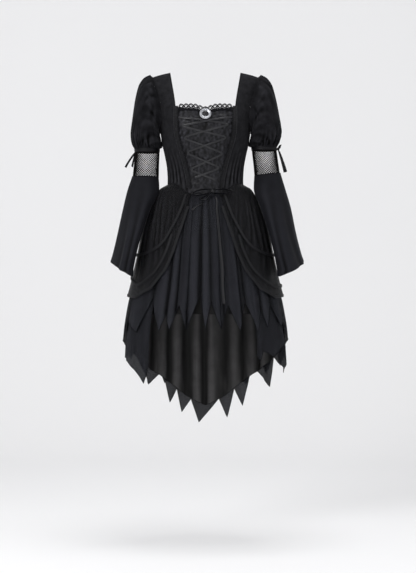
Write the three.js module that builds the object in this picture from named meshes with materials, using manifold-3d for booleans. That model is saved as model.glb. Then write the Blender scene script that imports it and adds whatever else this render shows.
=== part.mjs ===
// A black witch costume, worn and hollow: a velvet bodice with a laced satin front, puffed
// sleeves tied above fishnet and bell sleeves, and a layered skirt, short in front and long
// behind, under a net overskirt caught up on each hip with cords.
// Millimetres, +Z up. The front faces -Y and +X is the wearer's left. The origin lies
// between the shoulders, where the wearer holds the dress up.
import * as THREE from "three";
import { mergeVertices } from "three/addons/utils/BufferGeometryUtils.js";
import Module from "manifold-3d";

const wasm = await Module();
wasm.setup();

// Cloth and seams
const VELVET = 1.5;
const SATIN = 1.2;
const CHIFFON = 1.0;
const SEAM_GAP = 0.3;
const WAIST_GAP = 0.8;
const SEAM_ANGLE = 0.06;
const SIDES = [["left", 1], ["right", -1]];
const RIBBON_WIDTH = 6;
const RIBBON_THICKNESS = 1;
const CORD_DIAMETER = 6;

// Shoulders
const NECK_HALF = 110;
const SHOULDER_HALF = 162;
const NECK_POINT_Z = 6;
const SHOULDER_POINT_Z = -8;

// Waist
const WAIST_SIDE_Z = -341;
const WAIST_POINT_DROP = 31;
const WAIST_POINT_ANGLE = 20;
const WAIST_LEVEL_ANGLE = 53;

// The body of the dress, by height: half the width seen from the front.
const TORSO_WIDTH = [
  { z: 10, half: 178 },
  { z: -30, half: 172 },
  { z: -60, half: 165 },
  { z: -90, half: 157 },
  { z: -120, half: 150 },
  { z: -150, half: 144 },
  { z: -182, half: 139 },
  { z: -215, half: 134 },
  { z: -250, half: 126 },
  { z: -290, half: 119 },
  { z: -325, half: 117 },
  { z: -380, half: 119 },
];

// How deep the dress is in front of and behind the shoulder seam, by distance below it.
const TORSO_DEPTH = [
  { below: -4, front: 0, back: 0 },
  { below: 0, front: 0, back: 0 },
  { below: 7, front: 24, back: 22 },
  { below: 25, front: 46, back: 44 },
  { below: 55, front: 66, back: 66 },
  { below: 90, front: 84, back: 84 },
  { below: 130, front: 102, back: 93 },
  { below: 170, front: 112, back: 95 },
  { below: 215, front: 108, back: 90 },
  { below: 260, front: 97, back: 81 },
  { below: 300, front: 88, back: 75 },
  { below: 340, front: 84, back: 72 },
  { below: 380, front: 84, back: 72 },
];
const BUST = { x: 70, z: -168, radius: 48, height: 10 };

// The armhole from the shoulder point down to the side seam, alike in front and behind.
const ARMHOLE = [
  { x: SHOULDER_HALF, z: SHOULDER_POINT_Z },
  { x: 158, z: -30 },
  { x: 151, z: -55 },
  { x: 142, z: -84 },
  { x: 135, z: -114 },
  { x: 133, z: -145 },
  { x: 139, z: -182 },
];

// The edge of the velvet front beside the satin panel, then the neckline, waist to shoulder.
// Each row is one row of the front's cloth, with the height where it meets the side.
const FRONT_EDGE = [
  { x: 51, z: -364, sideZ: WAIST_SIDE_Z },
  { x: 54, z: -336, sideZ: -318 },
  { x: 60, z: -303, sideZ: -290 },
  { x: 69, z: -266, sideZ: -258 },
  { x: 78, z: -235, sideZ: -226 },
  { x: 86, z: -206, sideZ: -182 },
  { x: 90, z: -179, sideZ: -145 },
  { x: 91.5, z: -141, sideZ: -114 },
  { x: 92, z: -105, sideZ: -84 },
  { x: 97, z: -69, sideZ: -55 },
  { x: 103, z: -35, sideZ: -30 },
  { x: NECK_HALF, z: NECK_POINT_Z, sideZ: SHOULDER_POINT_Z },
];

// The centre back seam, then the back neckline, waist to shoulder.
const BACK_EDGE = [
  { x: 0, z: WAIST_SIDE_Z, sideZ: WAIST_SIDE_Z },
  { x: 0, z: -318, sideZ: -318 },
  { x: 0, z: -290, sideZ: -290 },
  { x: 0, z: -256, sideZ: -256 },
  { x: 0, z: -222, sideZ: -222 },
  { x: 0, z: -186, sideZ: -182 },
  { x: 0, z: -152, sideZ: -145 },
  { x: 0, z: -126, sideZ: -114 },
  { x: 0, z: -104, sideZ: -84 },
  { x: 98, z: -97, sideZ: -55 },
  { x: 105, z: -45, sideZ: -30 },
  { x: NECK_HALF, z: NECK_POINT_Z, sideZ: SHOULDER_POINT_Z },
];
const ARMHOLE_ROWS = 6;
const ARMHOLE_GAP = 0.8;
const BODICE_GATHERS = 2.2;
const BODICE_GATHERED_ROWS = 4;

// The satin panel's sweetheart edge and the lace on it
const SWEETHEART_Z = -115;
const SWEETHEART_DIP = 10;
const SWEETHEART_DIP_WIDTH = 22;
const LACE = { half: 80, above: 10, below: 7, scallops: 11, rise: 3, ruffle: 2.8, eyelet: 2.9 };
const BRAID = {
  inner: 9,
  outer: 4,
  ridgeFrom: -3,
  ridgeTop: 1,
  lift: 1.8,
  seat: 0.7,
  thickness: 1.2,
  ridge: 1.4,
};
const BRAID_ENDS = { bottom: -357, top: -106 };

// Where the lacing turns under the braids, from the top down, seen from the front
const LACING_TURNS = [
  { left: -81, leftZ: -143, right: 81, rightZ: -142 },
  { left: -78, leftZ: -171, right: 76, rightZ: -165 },
  { left: -70, leftZ: -205, right: 69, rightZ: -204 },
  { left: -60, leftZ: -249, right: 56, rightZ: -252 },
  { left: -48, leftZ: -301, right: 45, rightZ: -295 },
  { left: -41, leftZ: -329, right: 40, rightZ: -335 },
];
// The share of a run that bends round at each turn, and where one lace climbs over the other
const LACING_BEND = 0.12;
const LACING_CROSSING = { half: 28, ramp: 14 };
const LACING_STEPS = { straight: 6, bend: 3 };
const LACING_LIFT = 1;
const LACING_OVER_LIFT = 1.9;

const BROOCH = { z: -134, radius: 18, core: 9, depth: 5, stand: 3.2 };

// The bow at the waist point. A loop's rows are across, up and lift.
const BOW = {
  x: 21,
  z: -367,
  stand: 9,
  knot: { radius: 6, wide: 1.2, deep: 0.8 },
  loops: [
    {
      width: 8,
      route: [[0, 2], [18, 7, 13], [40, 6, 14.4], [54, 0, 13.3], [38, -6, 11.2], [16, -6, 10.6], [0, -2]],
    },
    {
      width: 8,
      route: [[0, 2], [-18, 6, 13], [-44, 2, 13], [-62, -8, 11], [-46, -12, 9], [-18, -7, 9], [0, -2]],
    },
    {
      width: 7,
      route: [[0, 0], [-10, -8, 13], [-24, -17, 12], [-36, -25, 9], [-22, -27, 7], [-8, -13, 7], [0, -1.5]],
    },
  ],
};

// The skirt's outermost cloth, by distance below the waist seam
const SKIRT_FORM = [
  { below: -10, half: 116, front: 84, back: 71 },
  { below: 0, half: 118, front: 84, back: 72 },
  { below: 12, half: 139, front: 94, back: 94 },
  { below: 31, half: 153, front: 105, back: 111 },
  { below: 62, half: 168, front: 117, back: 130 },
  { below: 102, half: 183, front: 130, back: 146 },
  { below: 146, half: 197, front: 142, back: 160 },
  { below: 217, half: 212, front: 155, back: 178 },
  { below: 276, half: 225, front: 164, back: 190 },
  { below: 310, half: 233, front: 169, back: 197 },
  { below: 359, half: 246, front: 174, back: 205 },
  { below: 390, half: 252, front: 177, back: 210 },
  { below: 459, half: 263, front: 181, back: 216 },
  { below: 559, half: 268, front: 185, back: 222 },
  { below: 659, half: 272, front: 189, back: 226 },
  { below: 790, half: 276, front: 192, back: 230 },
];

// How far each layer lies inside the outermost one, at the waist and in the full skirt
const LAYERS = {
  net: { waist: -0.4, full: 0 },
  chiffon: { waist: 1.8, full: 8 },
  under: { waist: 3.6, full: 17 },
  lining: { waist: 5.4, full: 28 },
};
const LAYERS_FULL_BELOW = 130;
// A fold starts at the waist and is at its full depth at the hem, or at this height if higher
const FOLDS_FULL_Z = -700;
const FOLD_GROWTH = 1.2;
const ROW_LEVELS = [0, 12, 35, 80];
const LOWER_ROWS = 3;

// Chiffon front: angle from the centre front, hem height at the point or notch, fold depth
const CHIFFON_FRONT = [
  { angle: -75, hem: -760, fold: 4 },
  { angle: -66, hem: -775, fold: 3 },
  { angle: -55.5, hem: -794, fold: 0 },
  { angle: -52, hem: -763, fold: 1.4 },
  { angle: -49.3, hem: -740, fold: 3 },
  { angle: -47.5, hem: -725, fold: 3.6 },
  { angle: -43.3, hem: -691, fold: 5 },
  { angle: -39, hem: -745, fold: 2 },
  { angle: -34, hem: -789, fold: 0 },
  { angle: -30, hem: -741, fold: 9 },
  { angle: -26, hem: -787, fold: 1 },
  { angle: -22.5, hem: -738, fold: 12 },
  { angle: -19.8, hem: -712, fold: 3 },
  { angle: -16.5, hem: -752, fold: 4 },
  { angle: -14, hem: -786, fold: 14 },
  { angle: -9, hem: -735, fold: 1 },
  { angle: -3.9, hem: -678, fold: 13 },
  { angle: 0, hem: -783, fold: 1 },
  { angle: 4.3, hem: -702, fold: 0 },
  { angle: 8, hem: -748, fold: 1 },
  { angle: 11.7, hem: -785, fold: 10 },
  { angle: 14.5, hem: -747, fold: 14 },
  { angle: 17.2, hem: -712, fold: 5 },
  { angle: 21, hem: -752, fold: 0 },
  { angle: 25.4, hem: -789, fold: 3 },
  { angle: 28.6, hem: -745, fold: 13 },
  { angle: 31.5, hem: -706, fold: 8 },
  { angle: 36, hem: -754, fold: 0 },
  { angle: 39, hem: -795, fold: 1 },
  { angle: 42, hem: -760, fold: 3 },
  { angle: 45, hem: -726, fold: 5 },
  { angle: 49, hem: -779, fold: 1 },
  { angle: 53, hem: -741, fold: 3 },
  { angle: 56.5, hem: -708, fold: 5 },
  { angle: 62, hem: -745, fold: 3 },
  { angle: 67, hem: -778, fold: 1 },
  { angle: 75, hem: -762, fold: 4 },
];

// Chiffon sides and back, from the front's edge to the centre back seam
const CHIFFON_SIDE = [
  { angle: 75, left: -762, right: -760 },
  { angle: 82, left: -795, right: -790 },
  { angle: 90, left: -820, right: -821 },
  { angle: 97, left: -838, right: -842 },
  { angle: 104, left: -862, right: -850 },
  { angle: 112, left: -905, right: -885 },
  { angle: 120, left: -848, right: -855 },
  { angle: 130, left: -935, right: -925 },
  { angle: 140, left: -880, right: -872 },
  { angle: 150, left: -975, right: -968 },
  { angle: 158, left: -925, right: -918 },
  { angle: 167, left: -1012, right: -1004 },
  { angle: 174, left: -958, right: -952 },
  { angle: 180, left: -1018, right: -1018 },
];

// The longer chiffon under it, from the side fronts round to the centre back seam
const UNDER_LEFT = [
  { angle: 39, hem: -866 },
  { angle: 42, hem: -880 },
  { angle: 45, hem: -852 },
  { angle: 49, hem: -856 },
  { angle: 53, hem: -863 },
  { angle: 56.5, hem: -870 },
  { angle: 62, hem: -858 },
  { angle: 67, hem: -848 },
  { angle: 74, hem: -835 },
  { angle: 79, hem: -853 },
  { angle: 84, hem: -872 },
  { angle: 91, hem: -898 },
  { angle: 98, hem: -924 },
  { angle: 104, hem: -910 },
  { angle: 110, hem: -897 },
  { angle: 115, hem: -889 },
  { angle: 120, hem: -880 },
  { angle: 125, hem: -975 },
  { angle: 130, hem: -956 },
  { angle: 136, hem: -937 },
  { angle: 143, hem: -905 },
  { angle: 152, hem: -1040 },
  { angle: 158, hem: -985 },
  { angle: 164.3, hem: -1080 },
  { angle: 170, hem: -1018 },
  { angle: 180, hem: -1071 },
];
const UNDER_RIGHT = [
  { angle: 43.3, hem: -898 },
  { angle: 47.5, hem: -949 },
  { angle: 49.3, hem: -940 },
  { angle: 52, hem: -928 },
  { angle: 55.5, hem: -919 },
  { angle: 60, hem: -908 },
  { angle: 66, hem: -898 },
  { angle: 73, hem: -887 },
  { angle: 78, hem: -882 },
  { angle: 84, hem: -878 },
  { angle: 91, hem: -872 },
  { angle: 98, hem: -866 },
  { angle: 104, hem: -863 },
  { angle: 110, hem: -860 },
  { angle: 115, hem: -870 },
  { angle: 120, hem: -880 },
  { angle: 127, hem: -924 },
  { angle: 134, hem: -969 },
  { angle: 142, hem: -937 },
  { angle: 146, hem: -905 },
  { angle: 153, hem: -1030 },
  { angle: 158, hem: -985 },
  { angle: 162.5, hem: -1062 },
  { angle: 169.2, hem: -1020 },
  { angle: 175.2, hem: -1096 },
  { angle: 180, hem: -1071 },
];

const LINING_HEM = [
  { angle: 0, hem: -738 },
  { angle: 60, hem: -738 },
  { angle: 75, hem: -765 },
  { angle: 90, hem: -815 },
  { angle: 108, hem: -865 },
  { angle: 131, hem: -915 },
  { angle: 140, hem: -935 },
  { angle: 150, hem: -960 },
  { angle: 166, hem: -1010 },
  { angle: 180, hem: -1040 },
];
const LINING_STEP = { front: 10, back: 7.5 };
const BACK_FOLD = { depth: 8, every: 15, from: 75 };

// The net overskirt's edge on one hip, from the centre front round to the centre back
const NET_EDGE = [
  { angle: 20, hem: -412 },
  { angle: 24.4, hem: -480 },
  { angle: 29, hem: -549 },
  { angle: 34.6, hem: -604 },
  { angle: 46, hem: -660 },
  { angle: 62, hem: -686 },
  { angle: 90, hem: -681 },
  { angle: 118, hem: -688 },
  { angle: 134, hem: -668 },
  { angle: 145, hem: -622 },
  { angle: 151, hem: -566 },
  { angle: 156, hem: -496 },
  { angle: 160, hem: -420 },
];
const NET_WAIST = { front: 20, back: 158 };
const NET_COLUMNS = 18;
const NET_GATHER = 2.6;
const NET_ROW_SHARE = 0.16;
const NET_FAN = 0.8;

// The cords looped over each hip
const SWAG_UPPER = [
  { angle: 26, z: -374.5 },
  { angle: 26.6, z: -425 },
  { angle: 30.9, z: -468 },
  { angle: 38, z: -518 },
  { angle: 47, z: -543 },
  { angle: 60.5, z: -556 },
  { angle: 78, z: -560 },
  { angle: 100, z: -556 },
  { angle: 120, z: -545 },
  { angle: 136, z: -516 },
  { angle: 144, z: -466 },
  { angle: 148, z: -424 },
  { angle: 150, z: -348 },
];
const SWAG_LOWER = [
  { angle: 31, left: -500, right: -497 },
  { angle: 33.5, left: -545, right: -540 },
  { angle: 38.5, left: -590, right: -586 },
  { angle: 46, left: -622, right: -622 },
  { angle: 60, left: -654, right: -650 },
  { angle: 78, left: -656, right: -634 },
  { angle: 100, left: -650, right: -626 },
  { angle: 118, left: -646, right: -632 },
  { angle: 134, left: -616, right: -612 },
  { angle: 143, left: -566, right: -566 },
  { angle: 149, left: -505, right: -505 },
];
const CORD_SIDES = 6;
const CORD_CLEARANCE = 1.1;
const CORD_STEPS = { perRow: 2, atEnds: 3 };

// The puffed sleeve, from the armhole to the band: its highest and its underarm line
const PUFF = [
  { topX: 171, topZ: 0, underX: 141, underZ: -186, depth: 66 },
  { topX: 189, topZ: -9, underX: 139.5, underZ: -194, depth: 73 },
  { topX: 206, topZ: -32, underX: 138.3, underZ: -200, depth: 76 },
  { topX: 218, topZ: -78, underX: 137.4, underZ: -206, depth: 73 },
  { topX: 226, topZ: -132, underX: 136.8, underZ: -211, depth: 66 },
  { topX: 233, topZ: -180, underX: 137.2, underZ: -217, depth: 58 },
  { topX: 230, topZ: -205, underX: 139, underZ: -221.5, depth: 50 },
  { topX: 221, topZ: -224, underX: 142, underZ: -224, depth: 39.5 },
];
const PUFF_GATHERS = [1.4, 2.6, 2.2, 1.1, 0.6, 1.4, 2.6, 0];
const AROUND_SLEEVE = 24;

// The arm below the puff. The tie's back tail ends short of its front one by shortX and
// shortZ. A tail swings by swing radians as it falls, and starts narrow at the knot.
const TIE = {
  angle: 10,
  knot: 4.5,
  width: 7,
  startWidth: 3.5,
  swing: 0.6,
  frontY: -14,
  backY: 14,
  shortX: 13,
  shortZ: 14,
  loops: [
    { out: 7, along: -20, up: 3 },
    { out: 8, along: 18, up: 2 },
  ],
  left: { outX: 249, tailZ: -300 },
  right: { outX: 246, tailZ: -289 },
};
// A loop of ribbon is drawn in to a share of its width where it enters the knot
const LOOP = { atKnot: 0.45, widens: 4, steps: 9, smallSteps: 6 };
const BAND = { topZ: -224.5, height: 13.5, x: 181.5, radius: 40.5, thickness: 2 };
const FISHNET = { topZ: -238.4, bottomZ: -308.5, topX: 182, bottomX: 188, topRadius: 38.6, bottomRadius: 41 };

// The bell sleeve: its inner and outer line seen from the front, its half depth, how far it
// leans forwards, and how far its front turns inwards over the hip
const BELL = [
  { z: -309, inner: 147, outer: 230, depth: 41.5, lean: 0, turn: 0 },
  { z: -353, inner: 147, outer: 238, depth: 50, lean: 8, turn: 8 },
  { z: -415, inner: 169, outer: 252, depth: 62, lean: 26, turn: 18 },
  { z: -490, inner: 192, outer: 270, depth: 76, lean: 40, turn: 24 },
  { z: -556, inner: 208, outer: 286, depth: 87, lean: 46, turn: 26 },
  { z: -604, inner: 217, outer: 300, depth: 93, lean: 50, turn: 28 },
];
const BELL_HEM = { outer: -579, inner: -622, turn: 42.4, dip: 5 };
const BELL_FULL_LENGTH = 295;
const BELL_FOLDS = 7;
const BELL_FOLD_DEPTH = 6.5;
const AROUND_BELL = 28;

const BLACK_VELVET = { color: 0x101012, roughness: 0.95 };
const BLACK_SATIN = { color: 0x1d1d22, roughness: 0.45 };
const BLACK_CHIFFON = { color: 0x17181d, roughness: 0.8 };
const BLACK_NET = { color: 0x0c0c0e, roughness: 0.9 };
const BLACK_TRIM = { color: 0x0e0e11, roughness: 0.7 };
const SILVER_STONES = { color: 0xc9cbd0, roughness: 0.25, metalness: 0.8 };
const BLACK_STONE = { color: 0x08080a, roughness: 0.15 };

const dress = new THREE.Group();
dress.name = "witch_costume";

const radians = (degrees) => (degrees * Math.PI) / 180;
const clamp = (value, low, high) => Math.min(high, Math.max(low, value));
const mix = (a, b, share) => a + (b - a) * share;
const smooth = (share) => share * share * (3 - 2 * share);
const vector = (x, y, z) => new THREE.Vector3(x, y, z);

// Reads one column of a table at any place between its rows, along straight lines.
function read(table, key, column, at) {
  const rising = table[table.length - 1][key] > table[0][key];
  const order = rising ? 1 : -1;
  const place = clamp(order * at, order * table[0][key], order * table[table.length - 1][key]);
  const next = Math.max(1, table.findIndex((row) => order * row[key] >= place));
  const low = table[next - 1];
  const high = table[next];
  const share = (place / order - low[key]) / (high[key] - low[key]);
  return mix(low[column], high[column], share);
}

// Height of the waist seam at an angle from the centre front: a shallow point in front.
function waistZ(angle) {
  const away = (Math.abs(angle) - WAIST_POINT_ANGLE) / (WAIST_LEVEL_ANGLE - WAIST_POINT_ANGLE);
  return WAIST_SIDE_Z - WAIST_POINT_DROP * (1 - smooth(clamp(away, 0, 1)));
}

// Height of the shoulder line at a distance from the centre.
function shoulderZ(x) {
  const share = (Math.abs(x) - NECK_HALF) / (SHOULDER_HALF - NECK_HALF);
  return mix(NECK_POINT_Z, SHOULDER_POINT_Z, share);
}

// A point on the bodice's outer surface. Face is -1 in front and 1 behind.
function torsoPoint(x, z, face) {
  const half = read(TORSO_WIDTH, "z", "half", z);
  const below = shoulderZ(clamp(Math.abs(x), NECK_HALF, SHOULDER_HALF)) - z;
  const depth = read(TORSO_DEPTH, "below", face < 0 ? "front" : "back", below);
  const across = clamp(x / half, -1, 1);
  const toBust = Math.hypot(Math.abs(x) - BUST.x, z - BUST.z) / BUST.radius;
  const cup = face < 0 ? BUST.height * Math.exp(-toBust * toBust) : 0;
  return vector(x, face * (depth * Math.sqrt(1 - across * across) + cup), z);
}

// The same, moved out from the surface by a lift.
function liftedTorsoPoint(x, z, lift) {
  const step = 2;
  const along = torsoPoint(x + step, z, -1).sub(torsoPoint(x - step, z, -1));
  const up = torsoPoint(x, z + step, -1).sub(torsoPoint(x, z - step, -1));
  const normal = along.cross(up).normalize();
  return torsoPoint(x, z, -1).addScaledVector(normal, lift);
}

// One size of the skirt, moved in square to the slope of the cloth there.
function skirtSize(column, below, inset) {
  const size = (at) => read(SKIRT_FORM, "below", column, at);
  const slope = (size(below + 3) - size(below - 3)) / 6;
  return size(below) - inset * Math.hypot(1, slope);
}

// A point on one layer of the skirt, moved out from it by a lift. Positive angles go to the
// wearer's left.
function skirtPoint(angle, z, layer, lift = 0) {
  const below = waistZ(angle) - z;
  const fullness = smooth(clamp(below / LAYERS_FULL_BELOW, 0, 1));
  const inset = mix(layer.waist, layer.full, fullness) - lift;
  const half = skirtSize("half", below, inset);
  const depth = skirtSize(Math.abs(angle) <= 90 ? "front" : "back", below, inset);
  return vector(half * Math.sin(radians(angle)), -depth * Math.cos(radians(angle)), z);
}

// The folds that the skirt's layers share at the sides and behind.
function backFold(angle) {
  const turn = (Math.abs(angle) - BACK_FOLD.from) / BACK_FOLD.every;
  return turn < 0 ? 0 : (BACK_FOLD.depth * (1 - Math.cos(2 * Math.PI * turn))) / 2;
}

// Turns a geometry whose faces point inwards the right way round.
function facingOut(positions, index) {
  const corner = (i) => vector(...positions.slice(3 * index[i], 3 * index[i] + 3));
  let volume = 0;
  for (let i = 0; i < index.length; i += 3) {
    volume += corner(i).dot(corner(i + 1).cross(corner(i + 2)));
  }
  if (volume < 0) index.reverse();
  const geometry = new THREE.BufferGeometry();
  geometry.setAttribute("position", new THREE.Float32BufferAttribute(positions, 3));
  geometry.setIndex(index);
  return geometry;
}

// A cloth wall from rows of points on its outer face. Inside gives a point on its hollow side.
// Seams may give the direction across the seam at the first or last column or the last row,
// and the wall's edge there stays in the seam's plane, so that the next piece fits against it.
function clothWall(rows, thickness, inside, { around = false, seams = {} } = {}) {
  const columns = rows[0].length;
  const wrap = (c) => (around ? (c + columns) % columns : clamp(c, 0, columns - 1));
  const at = (r, c) => rows[clamp(r, 0, rows.length - 1)][wrap(c)];
  const normals = rows.map((row, r) =>
    row.map((_, c) => {
      const along = at(r, c + 1).clone().sub(at(r, c - 1));
      return along.cross(at(r + 1, c).clone().sub(at(r - 1, c))).normalize();
    }),
  );
  let outward = 0;
  rows.forEach((row, r) =>
    row.forEach((point, c) => {
      outward += Math.sign(normals[r][c].dot(point.clone().sub(inside(r))));
    }),
  );
  const positions = [];
  rows.forEach((row) => row.forEach((point) => positions.push(...point)));
  const edges = [
    { at: (r, c) => c === 0, across: seams.first },
    { at: (r, c) => c === columns - 1, across: seams.last },
    { at: (r) => r === rows.length - 1, across: seams.top },
  ];
  rows.forEach((row, r) =>
    row.forEach((point, c) => {
      const inwards = normals[r][c].multiplyScalar(-Math.sign(outward));
      for (const { at: onEdge, across } of edges) {
        if (across && onEdge(r, c)) inwards.projectOnPlane(across(point)).normalize();
      }
      positions.push(...point.clone().addScaledVector(inwards, thickness));
    }),
  );
  const index = [];
  const quad = (a, b, c, d) => index.push(a, b, c, a, c, d);
  const outer = (r, c) => r * columns + wrap(c);
  const inner = (r, c) => rows.length * columns + outer(r, c);
  const lastColumn = around ? columns : columns - 1;
  const lastRow = rows.length - 1;
  for (let r = 0; r < lastRow; r++) {
    for (let c = 0; c < lastColumn; c++) {
      quad(outer(r, c), outer(r, c + 1), outer(r + 1, c + 1), outer(r + 1, c));
      quad(inner(r, c), inner(r + 1, c), inner(r + 1, c + 1), inner(r, c + 1));
    }
    if (!around) {
      quad(outer(r, 0), outer(r + 1, 0), inner(r + 1, 0), inner(r, 0));
      quad(outer(r, lastColumn), inner(r, lastColumn), inner(r + 1, lastColumn), outer(r + 1, lastColumn));
    }
  }
  for (let c = 0; c < lastColumn; c++) {
    quad(outer(0, c), inner(0, c), inner(0, c + 1), outer(0, c + 1));
    quad(outer(lastRow, c), outer(lastRow, c + 1), inner(lastRow, c + 1), inner(lastRow, c));
  }
  return facingOut(positions, index);
}

// A solid through a row of like sections, closed with flat ends, as ribbons and braids are.
function throughSections(sections) {
  const sides = sections[0].length;
  const positions = sections.flatMap((section) => section.flatMap((point) => [...point]));
  const index = [];
  for (let s = 0; s < sections.length - 1; s++) {
    for (let i = 0; i < sides; i++) {
      const [a, b] = [s * sides + i, s * sides + ((i + 1) % sides)];
      index.push(a, b, b + sides, a, b + sides, a + sides);
    }
  }
  const end = (sections.length - 1) * sides;
  for (let i = 1; i < sides - 1; i++) {
    index.push(0, i + 1, i, end, end + i, end + i + 1);
  }
  return facingOut(positions, index);
}

// A ribbon along a path: width lies along each point's side, thickness along its face.
function ribbon(stops, thickness = RIBBON_THICKNESS) {
  return throughSections(
    stops.map(({ at, side, face, width }) => {
      const half = side.clone().normalize().multiplyScalar(width / 2);
      const deep = face.clone().normalize().multiplyScalar(thickness);
      const [left, right] = [at.clone().sub(half), at.clone().add(half)];
      return [left, right, right.clone().add(deep), left.clone().add(deep)];
    }),
  );
}

// A round cord whose middle runs straight from point to point.
function cord(points) {
  const last = points.length - 1;
  return throughSections(
    points.map((point, i) => {
      const along = points[Math.min(last, i + 1)].clone().sub(points[Math.max(0, i - 1)]).normalize();
      const away = vector(point.x, point.y, 0).projectOnPlane(along).normalize();
      const beside = along.clone().cross(away);
      return Array.from({ length: CORD_SIDES }, (_, side) => {
        const turn = (2 * Math.PI * side) / CORD_SIDES;
        return point
          .clone()
          .addScaledVector(away, (CORD_DIAMETER / 2) * Math.cos(turn))
          .addScaledVector(beside, (CORD_DIAMETER / 2) * Math.sin(turn));
      });
    }),
  );
}

function toSolid(geometry) {
  const plain = geometry.clone();
  plain.deleteAttribute("normal");
  plain.deleteAttribute("uv");
  const merged = mergeVertices(plain, 1e-3);
  return new wasm.Manifold(
    new wasm.Mesh({
      numProp: 3,
      vertProperties: new Float32Array(merged.attributes.position.array),
      triVerts: new Uint32Array(merged.index.array),
    }),
  );
}

function toGeometry(solid) {
  const mesh = solid.getMesh();
  const geometry = new THREE.BufferGeometry();
  geometry.setAttribute("position", new THREE.Float32BufferAttribute(mesh.vertProperties, 3));
  geometry.setIndex([...mesh.triVerts]);
  return geometry;
}

const joined = (geometries) => toGeometry(geometries.map(toSolid).reduce((a, b) => a.add(b)));

function sew(name, geometry, finish) {
  const mesh = new THREE.Mesh(geometry, new THREE.MeshStandardMaterial({ metalness: 0, ...finish }));
  mesh.name = name;
  dress.add(mesh);
  return mesh;
}

// The other side's copy of rows of points.
const mirrored = (rows) => rows.map((row) => row.map((point) => vector(-point.x, point.y, point.z)));
const towardsMiddle = (rows) => (r) => vector(0, 0, rows[r][0].z - 1);

// Bodice: rows across one quarter, from its inner edge to the side seam or the armhole.
function bodiceRows(edge, face, columns) {
  const firstArmhole = edge.length - 1 - ARMHOLE_ROWS;
  return edge.map((row, r) => {
    const onArmhole = r > firstArmhole;
    const armholeX = onArmhole ? ARMHOLE[edge.length - 1 - r].x : 0;
    const sideHalf = read(TORSO_WIDTH, "z", "half", row.sideZ);
    const innerHalf = read(TORSO_WIDTH, "z", "half", row.z);
    const from = Math.asin(clamp(row.x / innerHalf, -1, 1));
    const to = onArmhole ? Math.asin(clamp(armholeX / sideHalf, -1, 1)) : Math.PI / 2;
    const points = [];
    for (let c = 0; c <= columns; c++) {
      const share = c / columns;
      const turn = mix(from, to, share);
      let z = mix(row.z, row.sideZ, share);
      const towardsFront = face < 0 ? (turn * 180) / Math.PI : 90;
      if (r === 0) z = waistZ(towardsFront) + WAIST_GAP / 2;
      const point = torsoPoint(read(TORSO_WIDTH, "z", "half", z) * Math.sin(turn), z, face);
      const gathered = r < BODICE_GATHERED_ROWS && c > 0 && c < columns && c % 2 === 0;
      const depth = gathered ? (BODICE_GATHERS * (BODICE_GATHERED_ROWS - r)) / BODICE_GATHERED_ROWS : 0;
      const out = vector(point.x, point.y, 0).normalize();
      point.addScaledVector(out, r === 0 ? -depth / 2 : -depth);
      point.y += (face * SEAM_GAP) / 2;
      points.push(point);
    }
    return points;
  });
}

const FRONT_COLUMNS = 12;
const BACK_COLUMNS = 8;
const frontLeft = bodiceRows(FRONT_EDGE, -1, FRONT_COLUMNS);
const backLeft = bodiceRows(BACK_EDGE, 1, BACK_COLUMNS);
backLeft.forEach((row, r) => {
  if (BACK_EDGE[r].x === 0) row[0].x += SEAM_GAP / 2;
});
const acrossSide = () => vector(0, 1, 0);
const acrossMiddle = () => vector(1, 0, 0);
function bodicePanel(name, rows, seams) {
  sew(name, clothWall(rows, VELVET, towardsMiddle(rows), { seams }), BLACK_VELVET);
}
const frontSeams = { last: acrossSide, top: acrossSide };
const backSeams = { first: acrossMiddle, last: acrossSide, top: acrossSide };
bodicePanel("bodice_front_left", frontLeft, frontSeams);
bodicePanel("bodice_front_right", mirrored(frontLeft), frontSeams);
bodicePanel("bodice_back_left", backLeft, backSeams);
bodicePanel("bodice_back_right", mirrored(backLeft), backSeams);

// Satin panel between the two velvet fronts, with a sweetheart top edge
const sweetheartZ = (x) => SWEETHEART_Z - SWEETHEART_DIP * Math.exp(-((x / SWEETHEART_DIP_WIDTH) ** 2));
const panelHalf = (z) => read(FRONT_EDGE, "z", "x", z) - SEAM_GAP;
const PANEL_COLUMNS = 8;
const PANEL_ROWS = FRONT_EDGE.filter((row) => row.z < SWEETHEART_Z).map((row) => row.z);
function panelPoint(x, z, lift) {
  const point = liftedTorsoPoint(x, z, lift);
  point.y -= SEAM_GAP / 2;
  return point;
}
const panelRows = [...PANEL_ROWS, SWEETHEART_Z].map((z, r) => {
  const points = [];
  for (let c = 0; c <= PANEL_COLUMNS; c++) {
    const x = panelHalf(z) * mix(-1, 1, c / PANEL_COLUMNS);
    let height = z;
    if (r === 0) {
      height = waistZ((Math.asin(x / TORSO_WIDTH[TORSO_WIDTH.length - 1].half) * 180) / Math.PI);
      height += WAIST_GAP / 2;
    }
    if (r === PANEL_ROWS.length) height = sweetheartZ(x);
    points.push(panelPoint(x, height, 0));
  }
  return points;
});
sew("satin_panel", clothWall(panelRows, SATIN, towardsMiddle(panelRows)), BLACK_SATIN);

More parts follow.
